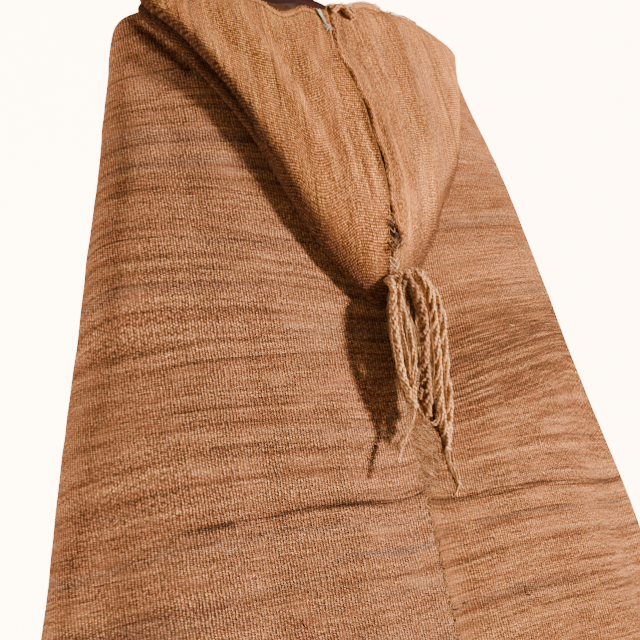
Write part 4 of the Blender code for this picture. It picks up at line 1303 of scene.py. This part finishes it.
CORDS = (    # path, wool, strands, thickness, width, depth, turns per metre
    (KNOT_BAR, straw_yarn, 3, 0.0034, 0.0028, 0.0026, 34),
    (KNOT_BAR, brown_yarn, 2, 0.0010, 0.0062, 0.0056, 150),
    (ROPE_PATH, straw_yarn, 3, 0.0023, 0.0025, 0.0021, 30),
    (YARN_PATH, straw_yarn, 3, 0.0016, 0.0022, 0.0016, 14),
    (MIDDLE_PATH, brown_yarn, 4, 0.0027, 0.0042, 0.0026, 20),
    (SLACK_PATH, brown_yarn, 2, 0.0013, 0.0012, 0.0011, 60),
    (THICK_PATH, straw_yarn, 4, 0.0023, 0.0036, 0.0024, 15),
    (OUTER_PATH, straw_yarn, 3, 0.0024, 0.0031, 0.0022, 13),
    (BETWEEN_PATH, straw_yarn, 1, 0.0011, 0.0010, 0.0010, 16),
    (BACK_PATH, dark_brown_yarn, 3, 0.0028, 0.0036, 0.0020, 14),
    (BEHIND_ROPE_PATH, dark_brown_yarn, 3, 0.0026, 0.0034, 0.0026, 14),
    (BEHIND_YARN_PATH, dark_brown_yarn, 3, 0.0028, 0.0038, 0.0026, 14),
    (WISP_PATH, straw_yarn, 3, 0.0011, 0.0014, 0.0011, 16),
    (TAIL_PATH, straw_yarn, 2, 0.0011, 0.0016, 0.0010, 18),
    (END_PATH, straw_yarn, 3, 0.0010, 0.0018, 0.0010, 16),
)
print("cords to lay:", len(CORDS))

# %% [markdown]
# Hanging cords lean on each other and on the cloak. Their routes are drawn in a little where the
# bundle is narrowest, and the ones that reach the cloth are laid against it. A tied-off end is a short
# hard coil.

# %% Settle the cords against each other and the cloth
DRAWN_IN = {
    ROPE_PATH: 0.0015, YARN_PATH: 0.0020, MIDDLE_PATH: 0.0030, THICK_PATH: 0.0034, OUTER_PATH: 0.0056,
}
DRAWN_AT, DRAWN_HALF = -0.605, 0.060     # the height where the bundle is narrowest
TOUCHING = (THICK_PATH, OUTER_PATH, TAIL_PATH, END_PATH)     # these end on the cloth
LOW_FROM, LOW_OVER = -0.585, 0.125       # below this a cord comes to lie against the cloth
OFF_CLOTH, LAID_BY = 0.042, 0.0402       # how far off it is at the top, and how much of that it loses
SWUNG_OUT, SIDE_SHARE = 0.004, 0.35      # the others swing out; how far sideways a laid one moves
TIED_OFF = ((0.021, 0.1620, -0.671, 0.0030), (0.008, 0.1620, -0.681, 0.0026))    # place and size
COIL_TURNS, COIL_POINTS, COIL_YARN = 2.5, 46, 0.0015


def settled(route):
    """The route, drawn in towards the others, and where it ends on the cloth laid against it."""
    points = []
    for x, y, z in route:
        cloth = (left_cloth if x > BACK_SEAM_X else right_cloth).at(x, z, 0.0)[1]
        low = float(ease((LOW_FROM - z) / LOW_OVER))
        laid = min(y, cloth + OFF_CLOTH - LAID_BY * low) if route in TOUCHING else y + SWUNG_OUT * low
        x, y = x - SIDE_SHARE * max(0.0, y - laid), laid
        drawn_in = DRAWN_IN.get(route, 0.0) * math.exp(-(((z - DRAWN_AT) / DRAWN_HALF) ** 2))
        points.append((x + drawn_in, y, z))
    return points


def coil(x, y, z, size):
    """A yarn wound on itself where a cord is tied off."""
    turns = np.linspace(0, 2 * math.pi * COIL_TURNS, COIL_POINTS)
    height = z + size * (turns / turns[-1] - 0.5)
    return np.stack([x + size * np.cos(turns), y + size * 0.8 * np.sin(turns), height], 1)


cord_pieces = [
    strands(rounded(settled(route)), f"cord_{k}", wool, *sizes)
    for k, (route, wool, *sizes) in enumerate(CORDS)
]
for k, place in enumerate(TIED_OFF):
    cord_pieces.append(strands(coil(*place), f"tied_{k}", straw_yarn, 1, COIL_YARN, 0, 0, 0))
print("cords and knots:", len(cord_pieces))

# %% [markdown]
# Where a cord is cut, its yarn opens into single fibres. They leave the cord together, part in the
# middle and draw together again towards the end, and no two are equally long.

# %% Let the cut ends fray into single fibres
fray = np.random.default_rng(5)


def frayed(route, count, spread, skip=0):
    """Lines of fibres that leave a route together, part in the middle and draw together at its end."""
    base = rounded(settled(route)[skip:], 0.003)
    share = np.linspace(0, 1, len(base))[:, None]
    lines = []
    for _ in range(count):
        drift = fray.normal(0, spread, 3) * (1, 0.4, 0.6)
        bend = fray.normal(0, spread / 3, 3) * (1, 0.3, 0.5)
        line = base + drift * (np.sin(math.pi * share**0.8) + 0.45 * share**2)
        line = line + bend * np.sin(share * math.pi * fray.uniform(1, 4))
        lines.append(line[:max(4, int(len(line) * fray.uniform(0.6, 1)))])
    return lines


locks = frayed(WISP_PATH, 36, 0.0012) + frayed(TAIL_PATH, 18, 0.0013) + frayed(END_PATH, 18, 0.0014)
for route, count in (
    (ROPE_PATH, 16), (YARN_PATH, 36), (MIDDLE_PATH, 40), (THICK_PATH, 26), (OUTER_PATH, 26),
):
    locks += frayed(route, count, 0.0032, skip=1)
cord_pieces.append(fibres(locks, "locks", straw_yarn, 0.00046))
tip_cords = joined(cord_pieces, "tip_cords_woven")
print("tip cords:", len(tip_cords.data.polygons), "faces")

# %% [markdown]
# Fine fibres that stand off the wool are what makes it look spun and not moulded. Modelled one by one
# they would take days, so a second tree scatters short bent hairs over the finished cords.

# %% A tree that scatters short hairs over a surface
HAIR_SIZES = {"Hairs per m2": "Float", "Length": "Float", "Thickness": "Float", "Wool": "Material"}
hair_tree, given = geometry_tree("standing fibres", HAIR_SIZES)
spread_out = new_node(
    hair_tree, "GeometryNodeDistributePointsOnFaces", None,
    {"Mesh": given["Geometry"], "Density": given["Hairs per m2"], "Seed": 7},
)
outward = Wire(spread_out.socket.node.outputs[1])
tilt = new_node(
    hair_tree, "FunctionNodeRandomValue", {"data_type": "FLOAT_VECTOR"},
    {0: (-0.9, -0.9, -0.9), 1: (0.9, 0.9, 0.9), "Seed": 11},
)
lean = vector(hair_tree, "ADD", outward, tilt)
facing = new_node(hair_tree, "FunctionNodeAlignRotationToVector", {"axis": "Z"}, {"Vector": lean})
hair_line = new_node(
    hair_tree, "GeometryNodeCurveArc", {"mode": "RADIUS"},
    {"Resolution": 4, "Radius": given["Length"], "Sweep Angle": 1.1},
)
one_hair = new_node(
    hair_tree, "GeometryNodeCurveToMesh", None,
    {"Curve": hair_line, "Profile Curve": circle(hair_tree, 3, given["Thickness"])},
)
stood = new_node(
    hair_tree, "GeometryNodeTransform", None,
    {"Geometry": one_hair, "Rotation": (math.radians(-90), 0, math.radians(20))},
)
hairs = new_node(
    hair_tree, "GeometryNodeInstanceOnPoints", None,
    {"Points": spread_out, "Instance": stood, "Rotation": facing,
     "Scale": random_between(hair_tree, 0.35, 1.25, 13)},
)
end_tree(hair_tree, hairs, given["Wool"])


def hairy(piece, name, wool, density, length, thickness=0.00008):
    """The hairs alone, grown on a copy of the piece."""
    copy = bpy.data.objects.new("copy", piece.data.copy())
    bpy.context.scene.collection.objects.link(copy)
    sizes = {"Hairs per m2": density, "Length": length, "Thickness": thickness, "Wool": wool}
    return grown(copy, hair_tree, sizes, name)


cord_fuzz = hairy(tip_cords, "cord_fuzz", straw_yarn, 80000.0, 0.0040)
print("cord fuzz:", len(cord_fuzz.data.polygons), "faces")

# %% [markdown]
# ## Sewing by hand
#
# The halves are whip-stitched: the thread goes over both selvedges again and again, so every stitch
# is a short slanted arch. One tree sets such an arch at even steps along a seam. The seam's path is
# read from the cloth's own edge, so the stitches sit on it wherever it wanders.

# %% A tree that sets arched stitches along a path
STITCH_SIZES = {
    "Spacing": "Float", "Reach": "Float", "Thickness": "Float", "Slant": "Float", "Yarn": "Material"
}
stitch_tree, given = geometry_tree("whip stitches", STITCH_SIZES)
seam_line = new_node(stitch_tree, "GeometryNodeMeshToCurve", None, {0: given["Geometry"]})
stations = new_node(
    stitch_tree, "GeometryNodeCurveToPoints", {"mode": "LENGTH"},
    {"Curve": seam_line, "Length": given["Spacing"]},
)
along_seam = Wire(stations.socket.node.outputs[1])
sit = new_node(
    stitch_tree, "FunctionNodeAlignRotationToVector", {"axis": "Y"}, {"Vector": along_seam}
)
uneven_turn = random_between(stitch_tree, -0.22, 0.22, 3)
turn_by = new_node(stitch_tree, "ShaderNodeCombineXYZ", None, {2: uneven_turn + given["Slant"]})
sit = new_node(
    stitch_tree, "FunctionNodeRotateRotation", {"rotation_space": "LOCAL"},
    {"Rotation": sit, "Rotate By": turn_by},
)
arch = new_node(
    stitch_tree, "GeometryNodeCurveArc", {"mode": "RADIUS"},
    {"Resolution": 6, "Radius": given["Reach"], "Start Angle": 0.25, "Sweep Angle": math.pi - 0.5},
)
arch = new_node(
    stitch_tree, "GeometryNodeTransform", None,
    {"Geometry": arch, "Rotation": (math.radians(90), 0, 0), "Scale": (1.0, 1.0, 0.45)},
)
one_stitch = new_node(
    stitch_tree, "GeometryNodeCurveToMesh", None,
    {"Curve": arch, "Profile Curve": circle(stitch_tree, 5, given["Thickness"]), "Fill Caps": True},
)
stitches = new_node(
    stitch_tree, "GeometryNodeInstanceOnPoints", None,
    {"Points": stations, "Instance": one_stitch, "Rotation": sit,
     "Scale": random_between(stitch_tree, 0.75, 1.15, 5)},
)
end_tree(stitch_tree, stitches, given["Yarn"])


def stitched(points, name, yarn, spacing, reach, thickness, slant):
    """A row of stitches along a line of points."""
    sizes = {"Spacing": spacing, "Reach": reach, "Thickness": thickness, "Slant": slant, "Yarn": yarn}
    return grown(polyline(points), stitch_tree, sizes, name)


print("stitch tree has", len(stitch_tree.nodes), "nodes")

# %% [markdown]
# The hood's centre seam is sewn in runs, with none where it gapes. Its mouth edge is rolled, so it
# carries three rows: the thread that whips the roll, and two rows further in that hold it down.

# %% Sew the seams
edge_yarn = spun_wool("edge_yarn", (0.150, 0.050, 0.017), (0.420, 0.185, 0.070), 330)
hem_yarn = spun_wool("hem_yarn", (0.210, 0.075, 0.024), (0.540, 0.240, 0.085), 330)
dark_yarn = spun_wool("dark_yarn", (0.020, 0.010, 0.008), (0.070, 0.034, 0.026), 330)
hood_rows = len(hood_left.data.vertices) // HOOD_COLUMNS
hood_seam = edge_points(hood_left, hood_rows, HOOD_COLUMNS, column=0)[-SHOWN_ROWS:]
OUT_OF_HOOD = np.array((0.0, 0.0006, 0.0))
STILL_SEWN = 0.0012                 # a gape narrower than this still has its stitches
MOUTH_ROWS = (    # name, distance from the mouth, points skipped, yarn, spacing, reach, thickness, slant
    ("mouth", 0.0012, 2, hem_yarn, 0.0037, 0.0030, 0.00075, 0.35),
    ("hem", 0.0080, 4, dark_yarn, 0.0030, 0.0014, 0.00042, 1.45),
    ("hem_under", 0.0135, 4, edge_yarn, 0.0050, 0.0017, 0.00055, 1.25),
)
sewn = seam_gape(hood_seam[:, 2]) < STILL_SEWN
runs = np.split(np.arange(len(sewn)), np.flatnonzero(np.diff(sewn.astype(int))) + 1)
sewing = [
    stitched(hood_seam[run] + OUT_OF_HOOD, f"hood_run_{k}", edge_yarn, 0.0105, 0.0028, 0.00044, 0.75)
    for k, run in enumerate(runs) if sewn[run[0]] and len(run) > 3
]


def below_mouth(sheet, distance):
    """The line on a hood half at that distance from its mouth, along each column."""
    shown = edge_points(sheet, hood_rows, HOOD_COLUMNS, row=slice(-SHOWN_ROWS, None))[::-1]
    line = []
    for column in shown.transpose(1, 0, 2):
        far = np.concatenate([[0], np.cumsum(np.linalg.norm(np.diff(column, axis=0), axis=1))])
        if far[-1] > 2 * distance:
            line.append([np.interp(distance, far, column[:, k]) for k in range(3)])
    return np.array(line)


for k, half in enumerate((hood_left, hood_right)):
    for name, distance, skipped, *thread in MOUTH_ROWS:
        sewing.append(stitched(below_mouth(half, distance)[skipped:], f"{name}_{k}", *thread))
seam_stitches = joined(sewing, "seam_stitches")
print("stitches:", len(seam_stitches.data.polygons), "faces")

# %% [markdown]
# ## Loose threads
#
# Old hand-spun cloth sheds. Where the hood's seam has let go the sewing thread still crosses the gap
# in slack loops, and odd fibres of other colours have caught in the nap. They are few and thin, but
# the eye reads their lack at once.

# %% Slack loops and caught fibres
red_yarn = spun_wool("red_yarn", (0.30, 0.025, 0.015), (0.62, 0.07, 0.04), 330)
loose = np.random.default_rng(17)


def hood_place(z, sideways):
    """A point just outside the hood's seam at that height."""
    k = int(np.abs(hood_seam[:, 2] - z).argmin())
    x, y, _ = hood_seam[k]
    return np.array((x + sideways, y + 0.0022, z))


def slack_loop(z, wide, drop):
    """A slack thread across the gaping seam at that height, which sags by the drop."""
    start, end = hood_place(z, 0.003), hood_place(z - 0.002, 0.003 - wide)
    middle = (start + end) / 2 + (0, 0.004, -drop)
    return rounded((start, (start + middle) / 2 + (0, 0.001, -drop / 4), middle, end), 0.0015)


def tangle(centre, count, size, length):
    """Short curled lines round a point, as where a yarn was cut and teased out."""
    lines = []
    for _ in range(count):
        at = np.array(centre) + loose.normal(0, 1, 3) * size
        heading = loose.normal(0, 1, 3) * (1, 0.5, 1)
        heading /= np.linalg.norm(heading)
        bend = np.cross(heading, loose.normal(0, 1, 3))
        turn = np.linspace(0, loose.uniform(1.5, 4.5), 8)[:, None]
        lines.append(at + length * (heading * np.sin(turn) + bend * (1 - np.cos(turn)) * 0.5))
    return lines


def lying(x, z, heading, length, curl=0.25):
    """A fibre that lies on the cloak, from its middle and its slope in degrees."""
    cloth = left_cloth if x > BACK_SEAM_X else right_cloth
    t = np.linspace(-0.5, 0.5, 8)
    slope = math.radians(heading)
    dx = length * (t * math.cos(slope) + curl * (0.25 - t * t) * math.sin(slope))
    dz = length * (t * math.sin(slope) - curl * (0.25 - t * t) * math.cos(slope))
    return np.array([cloth.at(x + a, z + b) for a, b in zip(dx, dz)])


print("points on the hood's seam:", len(hood_seam))

# %% [markdown]
# The order of the draws below matters: each one takes the next random numbers of the same series, so a
# thread that is moved up or down the list would change all that come after it.

# %% Scatter the threads
SEAM_FIBRES, BRUSHED_FIBRES, EDGE_HAIRS = 620, 150, 260
TORN_LOOPS = (    # height, width across the tear, drop
    (-0.452, 0.006, 0.006), (-0.458, 0.008, 0.009), (-0.464, 0.007, 0.006), (-0.470, 0.009, 0.008),
    (-0.477, 0.012, 0.010), (-0.482, 0.013, 0.006), (-0.488, 0.013, 0.009), (-0.494, 0.011, 0.006),
)
WHITE_LOOPS = (
    (-0.503, 0.010, 0.005), (-0.508, 0.012, 0.008), (-0.512, 0.009, 0.008), (-0.518, 0.010, 0.006),
)
KNOTTED_PATH = (
    (0.0030, 0.0915, -0.1765), (-0.0040, 0.0945, -0.1700), (-0.0105, 0.0955, -0.1690),
    (-0.0160, 0.0970, -0.1760), (-0.0205, 0.0975, -0.1830), (-0.0250, 0.0965, -0.1800),
    (-0.0245, 0.0950, -0.1715), (-0.0185, 0.0945, -0.1680), (-0.0130, 0.0960, -0.1725),
)
TAPE_TOP, TAPE_TOP_STEP = (0.0245, 0.0905, -0.1750), 0.0006
TAPE_END, TAPE_END_STEP = (0.0196, 0.1015, -0.2060), 0.0002
TAPE_YARNS, TAPE_POINTS = 10, 16


def seam_x(z):
    """Where the cloak's back seam is at that height."""
    return float(seam_wander(-z))


def tape_yarn(k):
    """One of the yarns that lie side by side in the tape at the top of the hood's seam."""
    top = (TAPE_TOP[0] - TAPE_TOP_STEP * k, *TAPE_TOP[1:])
    end = (TAPE_END[0] - TAPE_END_STEP * k, *TAPE_END[1:])
    return np.linspace(top, end, TAPE_POINTS) + loose.normal(0, 0.0005, (TAPE_POINTS, 3))


def edge_hair(at):
    """A short hair that stands up from the mouth edge."""
    return at, at + (loose.normal(0, 0.0014), loose.uniform(0.0002, 0.0016), loose.uniform(0.0008, 0.0034))


brushed = [
    lying(seam_x(z) - off, z, loose.normal(38, 16), loose.uniform(0.008, 0.020), loose.uniform(-0.6, 0.6))
    for z, off in zip(
        -0.690 - 0.075 * loose.beta(1.1, 1.4, BRUSHED_FIBRES), loose.uniform(0.001, 0.026, BRUSHED_FIBRES)
    )
]
seam_edge = [
    lying(seam_x(z) + loose.normal(0, 0.0016), z, loose.uniform(-80, 80), loose.uniform(0.003, 0.008))
    for z in loose.uniform(-1.40, -0.60, SEAM_FIBRES)
]
torn = [slack_loop(*loop) for loop in TORN_LOOPS]
torn += tangle(hood_place(-0.462, 0.002), 26, 0.0022, 0.0034)
torn += tangle(hood_place(-0.490, -0.004), 26, 0.0030, 0.0036)
gathered = tangle((-0.0110, 0.0930, -0.1735), 26, 0.0034, 0.0042)
gathered += tangle((-0.0215, 0.0950, -0.1790), 30, 0.0030, 0.0042)
# hollow and in_hole are tangles of near-black fibres that paint the shade under the gathered yarn and
# inside the torn seam
hollow = tangle((-0.0195, 0.0945, -0.1850), 16, 0.0018, 0.0026)
in_hole = tangle(hood_place(-0.486, -0.0075) - (0, 0.0040, 0), 120, 0.0036, 0.0044)
in_hole += tangle(hood_place(-0.466, -0.0015) - (0, 0.0030, 0), 40, 0.0020, 0.0030)
white_ends = [slack_loop(*loop) for loop in WHITE_LOOPS]
tape = [tape_yarn(k) for k in range(TAPE_YARNS)]
tape += tangle((0.0190, 0.1030, -0.2060), 16, 0.0014, 0.0026)
hairs_out = [
    edge_hair(at)
    for half in (hood_left, hood_right) for line in [below_mouth(half, 0.0006)]
    for at in line[loose.integers(0, len(line), EDGE_HAIRS)]
]
print("fibres along the cloak's seam:", len(seam_edge))

# %% [markdown]
# A few fibres of other colours have caught in the nap. They and all the threads above become one
# piece, each kind in its own wool.

# %% Catch the odd fibres and join the threads
RED_CAUGHT = ((0.2078, -0.410, 35, 0.011, 0.9), (0.1692, -0.8616, 60, 0.010), (0.164, -0.874, 20, 0.008))
PALE_CAUGHT = ((0.2297, -0.784, -10, 0.012), (-0.183, -0.578, 5, 0.011))
DARK_CAUGHT = (    # sideways place, height, slope in degrees, length, and curl where it is not the usual
    (-0.0986, -0.8785, 70, 0.012, 1.6), (-0.083, -0.727, 10, 0.006), (0.005, -0.878, 5, 0.008),
    (0.013, -0.831, 5, 0.009), (-0.0087, -0.875, 20, 0.005),
)
THREADS = (    # name, lines, wool, thickness
    ("brushed", brushed[::2], hem_yarn, 0.00030),
    ("brushed_dark", brushed[1::2], edge_yarn, 0.00028),
    ("seam_edge", seam_edge, hem_yarn, 0.00032),
    ("torn", torn, hem_yarn, 0.00050),
    ("gathered", gathered, hem_yarn, 0.00050),
    ("hollow", hollow, painted_shade_wool, 0.00050),
    ("in_hole", in_hole, painted_shade_wool, 0.00060),
    ("white", white_ends + tape, pale_yarn, 0.00042),
    ("hairs_out", hairs_out, edge_yarn, 0.00016),
    ("red", [lying(*place) for place in RED_CAUGHT], red_yarn, 0.00032),
    ("pale", [lying(*place) for place in PALE_CAUGHT], pale_yarn, 0.00036),
    ("dark", [lying(*place) for place in DARK_CAUGHT], dark_yarn, 0.00042),
)
threads = [fibres(lines, name, wool, thickness) for name, lines, wool, thickness in THREADS]
knotted = strands(
    rounded(KNOTTED_PATH), "knotted", hem_yarn, 3, 0.0021, 0.0020, 0.0018, 85, loose=0.0020
)
threads.insert(4, knotted)
loose_threads = joined(threads, "loose_threads")
print("loose threads:", len(loose_threads.data.polygons), "faces")

# %% [markdown]
# ## The hanger
#
# The hanger's own solids have the right shape, so they stay and only get a finish: dark stained wood
# under worn lacquer, with the grain along the arm, and bright drawn wire for the hook.

# %% Dress the wood and the wire
GRAIN_STRETCH = (14.0, 190.0, 190.0)     # lumps in a metre along the arm and across it
DARK_WOOD, WOOD, LIGHT_WOOD = (0.006, 0.0012, 0.0008), (0.017, 0.0032, 0.0020), (0.034, 0.0066, 0.0040)
DULL_STEEL, BRIGHT_STEEL = (0.40, 0.40, 0.39), (0.70, 0.70, 0.68)


def lacquered_wood():
    material, tree, shader = new_material("lacquered_wood", Coat_Roughness=0.30)
    shader.inputs["Specular IOR Level"].default_value = 0.04
    place = new_node(tree, "ShaderNodeTexCoord", None, None, 3)
    grain = object_noise(tree, vector(tree, "MULTIPLY", place, GRAIN_STRETCH), 1.0, 5.0)
    wear = object_noise(tree, place, 34.0, 4.0)
    ramp = {"stops": ((0.34, DARK_WOOD), (0.52, WOOD), (0.70, LIGHT_WOOD))}
    colour = grain.add("ShaderNodeValToRGB", ramp, {0: grain})
    tree.links.new((0.01 + 0.03 * wear).socket, shader.inputs["Coat Weight"])
    finish(tree, shader, colour, 0.44 + 0.20 * wear, grain, distance=0.0003, strength=0.5)
    return material


def drawn_wire():
    material, tree, shader = new_material("drawn_wire", Metallic=1.0)
    place = new_node(tree, "ShaderNodeTexCoord", None, None, 3)
    scuffs = object_noise(tree, place, 420.0, 3.0)
    ramp = {"stops": ((0.35, DULL_STEEL), (0.65, BRIGHT_STEEL))}
    colour = scuffs.add("ShaderNodeValToRGB", ramp, {0: scuffs})
    finish(tree, shader, colour, 0.20 + 0.22 * scuffs, scuffs, distance=0.0001, strength=0.3)
    return material


for node, dressing in (("hanger_wood", lacquered_wood()), ("hanger_hook", drawn_wire())):
    for slot in bpy.data.objects[node].material_slots:
        slot.material = dressing
print("hanger dressed")

# %% [markdown]
# ## Floor, wall, light and camera
#
# A warm lamp of modest size from one side and a little above gives the soft-edged shadow that the
# hood throws on the back. A second one, broad and weaker, grazes the cloak from the other side, and a
# faint fill and a lamp in front keep the dark wool readable. The four walls glow, so that they look
# white from anywhere, but they are kept from lighting the cloth.

# %% Set the stage
FLOOR_Z, WALL_TOP = -1.62, 7
ROOM = ((-8, -4.5), (8, -4.5), (8, 7), (-8, 7))
WALL_GLOW = 14.0
GLOW_TINT = (1.0, 0.74, 0.50, 1.0)
PAINT = ((0.3, (0.86, 0.80, 0.73)), (0.7, (0.90, 0.84, 0.77)))


def stage_plane(name, corners, glow):
    """A floor or a wall, which glows where the number is not zero."""
    mesh = bpy.data.meshes.new(name)
    mesh.from_pydata(corners, [], [(0, 1, 2, 3)])
    plane = bpy.data.objects.new(name, mesh)
    bpy.context.scene.collection.objects.link(plane)
    paint, tree, shader = new_material(name + "_paint", Roughness=0.9, Emission_Strength=glow)
    shader.inputs["Emission Color"].default_value = GLOW_TINT
    speckle = new_node(tree, "ShaderNodeTexNoise", None, {"Scale": 30.0, "Detail": 3.0})
    finish(tree, shader, speckle.add("ShaderNodeValToRGB", {"stops": PAINT}, {0: speckle}))
    mesh.materials.append(paint)
    plane.visible_diffuse = plane.visible_glossy = not glow


stage_plane("floor", [(x, y, FLOOR_Z) for x, y in ROOM], 0.0)
for k, (start, end) in enumerate(zip(ROOM, ROOM[1:] + ROOM[:1])):
    foot, top = [(*start, FLOOR_Z), (*end, FLOOR_Z)], [(*end, WALL_TOP), (*start, WALL_TOP)]
    stage_plane(f"wall_{k}", foot + top, WALL_GLOW)


def area_light(name, towards, distance, size, power, colour, target=(0.0, 0.1, -0.55)):
    """A round lamp at that distance from its target, which the camera does not see."""
    light = bpy.data.lights.new(name, "AREA")
    light.shape, light.size, light.energy, light.color = "DISK", size, power, colour
    lamp = bpy.data.objects.new(name, light)
    bpy.context.scene.collection.objects.link(lamp)
    aim = Vector(towards).normalized()
    lamp.location = Vector(target) + aim * distance
    lamp.rotation_euler = (-aim).to_track_quat("-Z", "Y").to_euler()
    lamp.visible_camera = False


area_light("key", (-0.66, 0.67, 0.27), 2.2, 0.30, 245, (1.0, 0.92, 0.80))
area_light("side", (1.0, -0.23, 0.10), 2.4, 1.0, 64, (1.0, 0.90, 0.78))
area_light("fill", (0.45, 0.85, 0.35), 3.0, 2.6, 0.5, (1.0, 0.84, 0.66))
area_light("front", (-0.55, -0.90, 0.10), 3.4, 1.2, 80, (1.0, 0.94, 0.86), (0.0, -0.05, -0.80))
world = bpy.data.worlds.new("studio")
bpy.context.scene.world = world
world.use_nodes = True
sky = world.node_tree.nodes["Background"]
sky.inputs["Color"].default_value = (1.0, 0.86, 0.72, 1.0)
sky.inputs["Strength"].default_value = 0.022
print("lamps:", len(bpy.data.lights))

# %% [markdown]
# The camera is close to the cloak and looks a little up at it, with a slight tilt, so that only the
# hood and the upper back fill the frame. The rest of the garment is there all the same.

# %% Place the camera
CAMERA_AT = Vector((0.547, 0.895, -0.728))
AZIMUTH, ELEVATION, ROLL = math.radians(149.8), math.radians(-10.2), math.radians(7.84)
FOCAL_SHARE = 858 / 640             # the focal length in widths of the frame
SENSOR = 36                         # its width in millimetres
backward = Vector((
    math.sin(AZIMUTH) * math.cos(ELEVATION), -math.cos(AZIMUTH) * math.cos(ELEVATION), math.sin(ELEVATION)
))
level = (-backward).cross(Vector((0, 0, 1))).normalized()
upright = level.cross(-backward)
to_right = math.cos(ROLL) * level - math.sin(ROLL) * upright
to_top = math.sin(ROLL) * level + math.cos(ROLL) * upright
camera_data = bpy.data.cameras.new("camera")
camera_data.lens, camera_data.sensor_width = FOCAL_SHARE * SENSOR, SENSOR
camera = bpy.data.objects.new("camera", camera_data)
bpy.context.scene.collection.objects.link(camera)
camera.matrix_world = Matrix((
    (to_right.x, to_top.x, backward.x, CAMERA_AT.x),
    (to_right.y, to_top.y, backward.y, CAMERA_AT.y),
    (to_right.z, to_top.z, backward.z, CAMERA_AT.z),
    (0, 0, 0, 1),
))
bpy.context.scene.camera = camera
print("lens:", round(camera_data.lens, 2), "mm")

# %% [markdown]
# ## Join the pieces to the frame
#
# Each woven piece takes the place of its solid, and the four sheets state the size of the cloth that
# was cut for them.

# %% Attach and measure
def flat_cut(sheet):
    """Width, length and area of the cut cloth, from the places of its threads before it was hung."""
    threads = np.empty(len(sheet.data.loops) * 2)
    sheet.data.uv_layers["Threads"].data.foreach_get("uv", threads)
    faces = threads.reshape(-1, 4, 2)
    one, other = faces[:, 2] - faces[:, 0], faces[:, 3] - faces[:, 1]
    area = float(np.abs(one[:, 0] * other[:, 1] - one[:, 1] * other[:, 0]).sum() / 2)
    width, length = faces.reshape(-1, 2).max(axis=0) - faces.reshape(-1, 2).min(axis=0)
    return (float(width), float(length)), area


for piece, node, finish_slot in (
    (cloak_left, "body_left", "body_wool"), (cloak_right, "body_right", "body_wool"),
    (hood_left, "hood_left", "hood_wool"), (hood_right, "hood_right", "hood_wool"),
    (tip_cords, "tip_cords", "cord_wool"),
):
    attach(piece, "root")
    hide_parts(node)
for piece, finish_slot in (
    (cord_fuzz, "cord_wool"), (seam_stitches, "body_wool"), (loose_threads, "cord_wool")
):
    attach(piece, "root")

for piece in (cloak_left, cloak_right, hood_left, hood_right):
    flat, area = flat_cut(piece)
    hung = sum(face.area for face in piece.data.polygons)
    carried = ["hanger_wood"] if piece in (cloak_left, cloak_right) else [cloak_left, cloak_right]
    print(piece.name, "cut", [round(x, 3) for x in flat], "flat", round(area, 3), "hung", round(hung, 3))
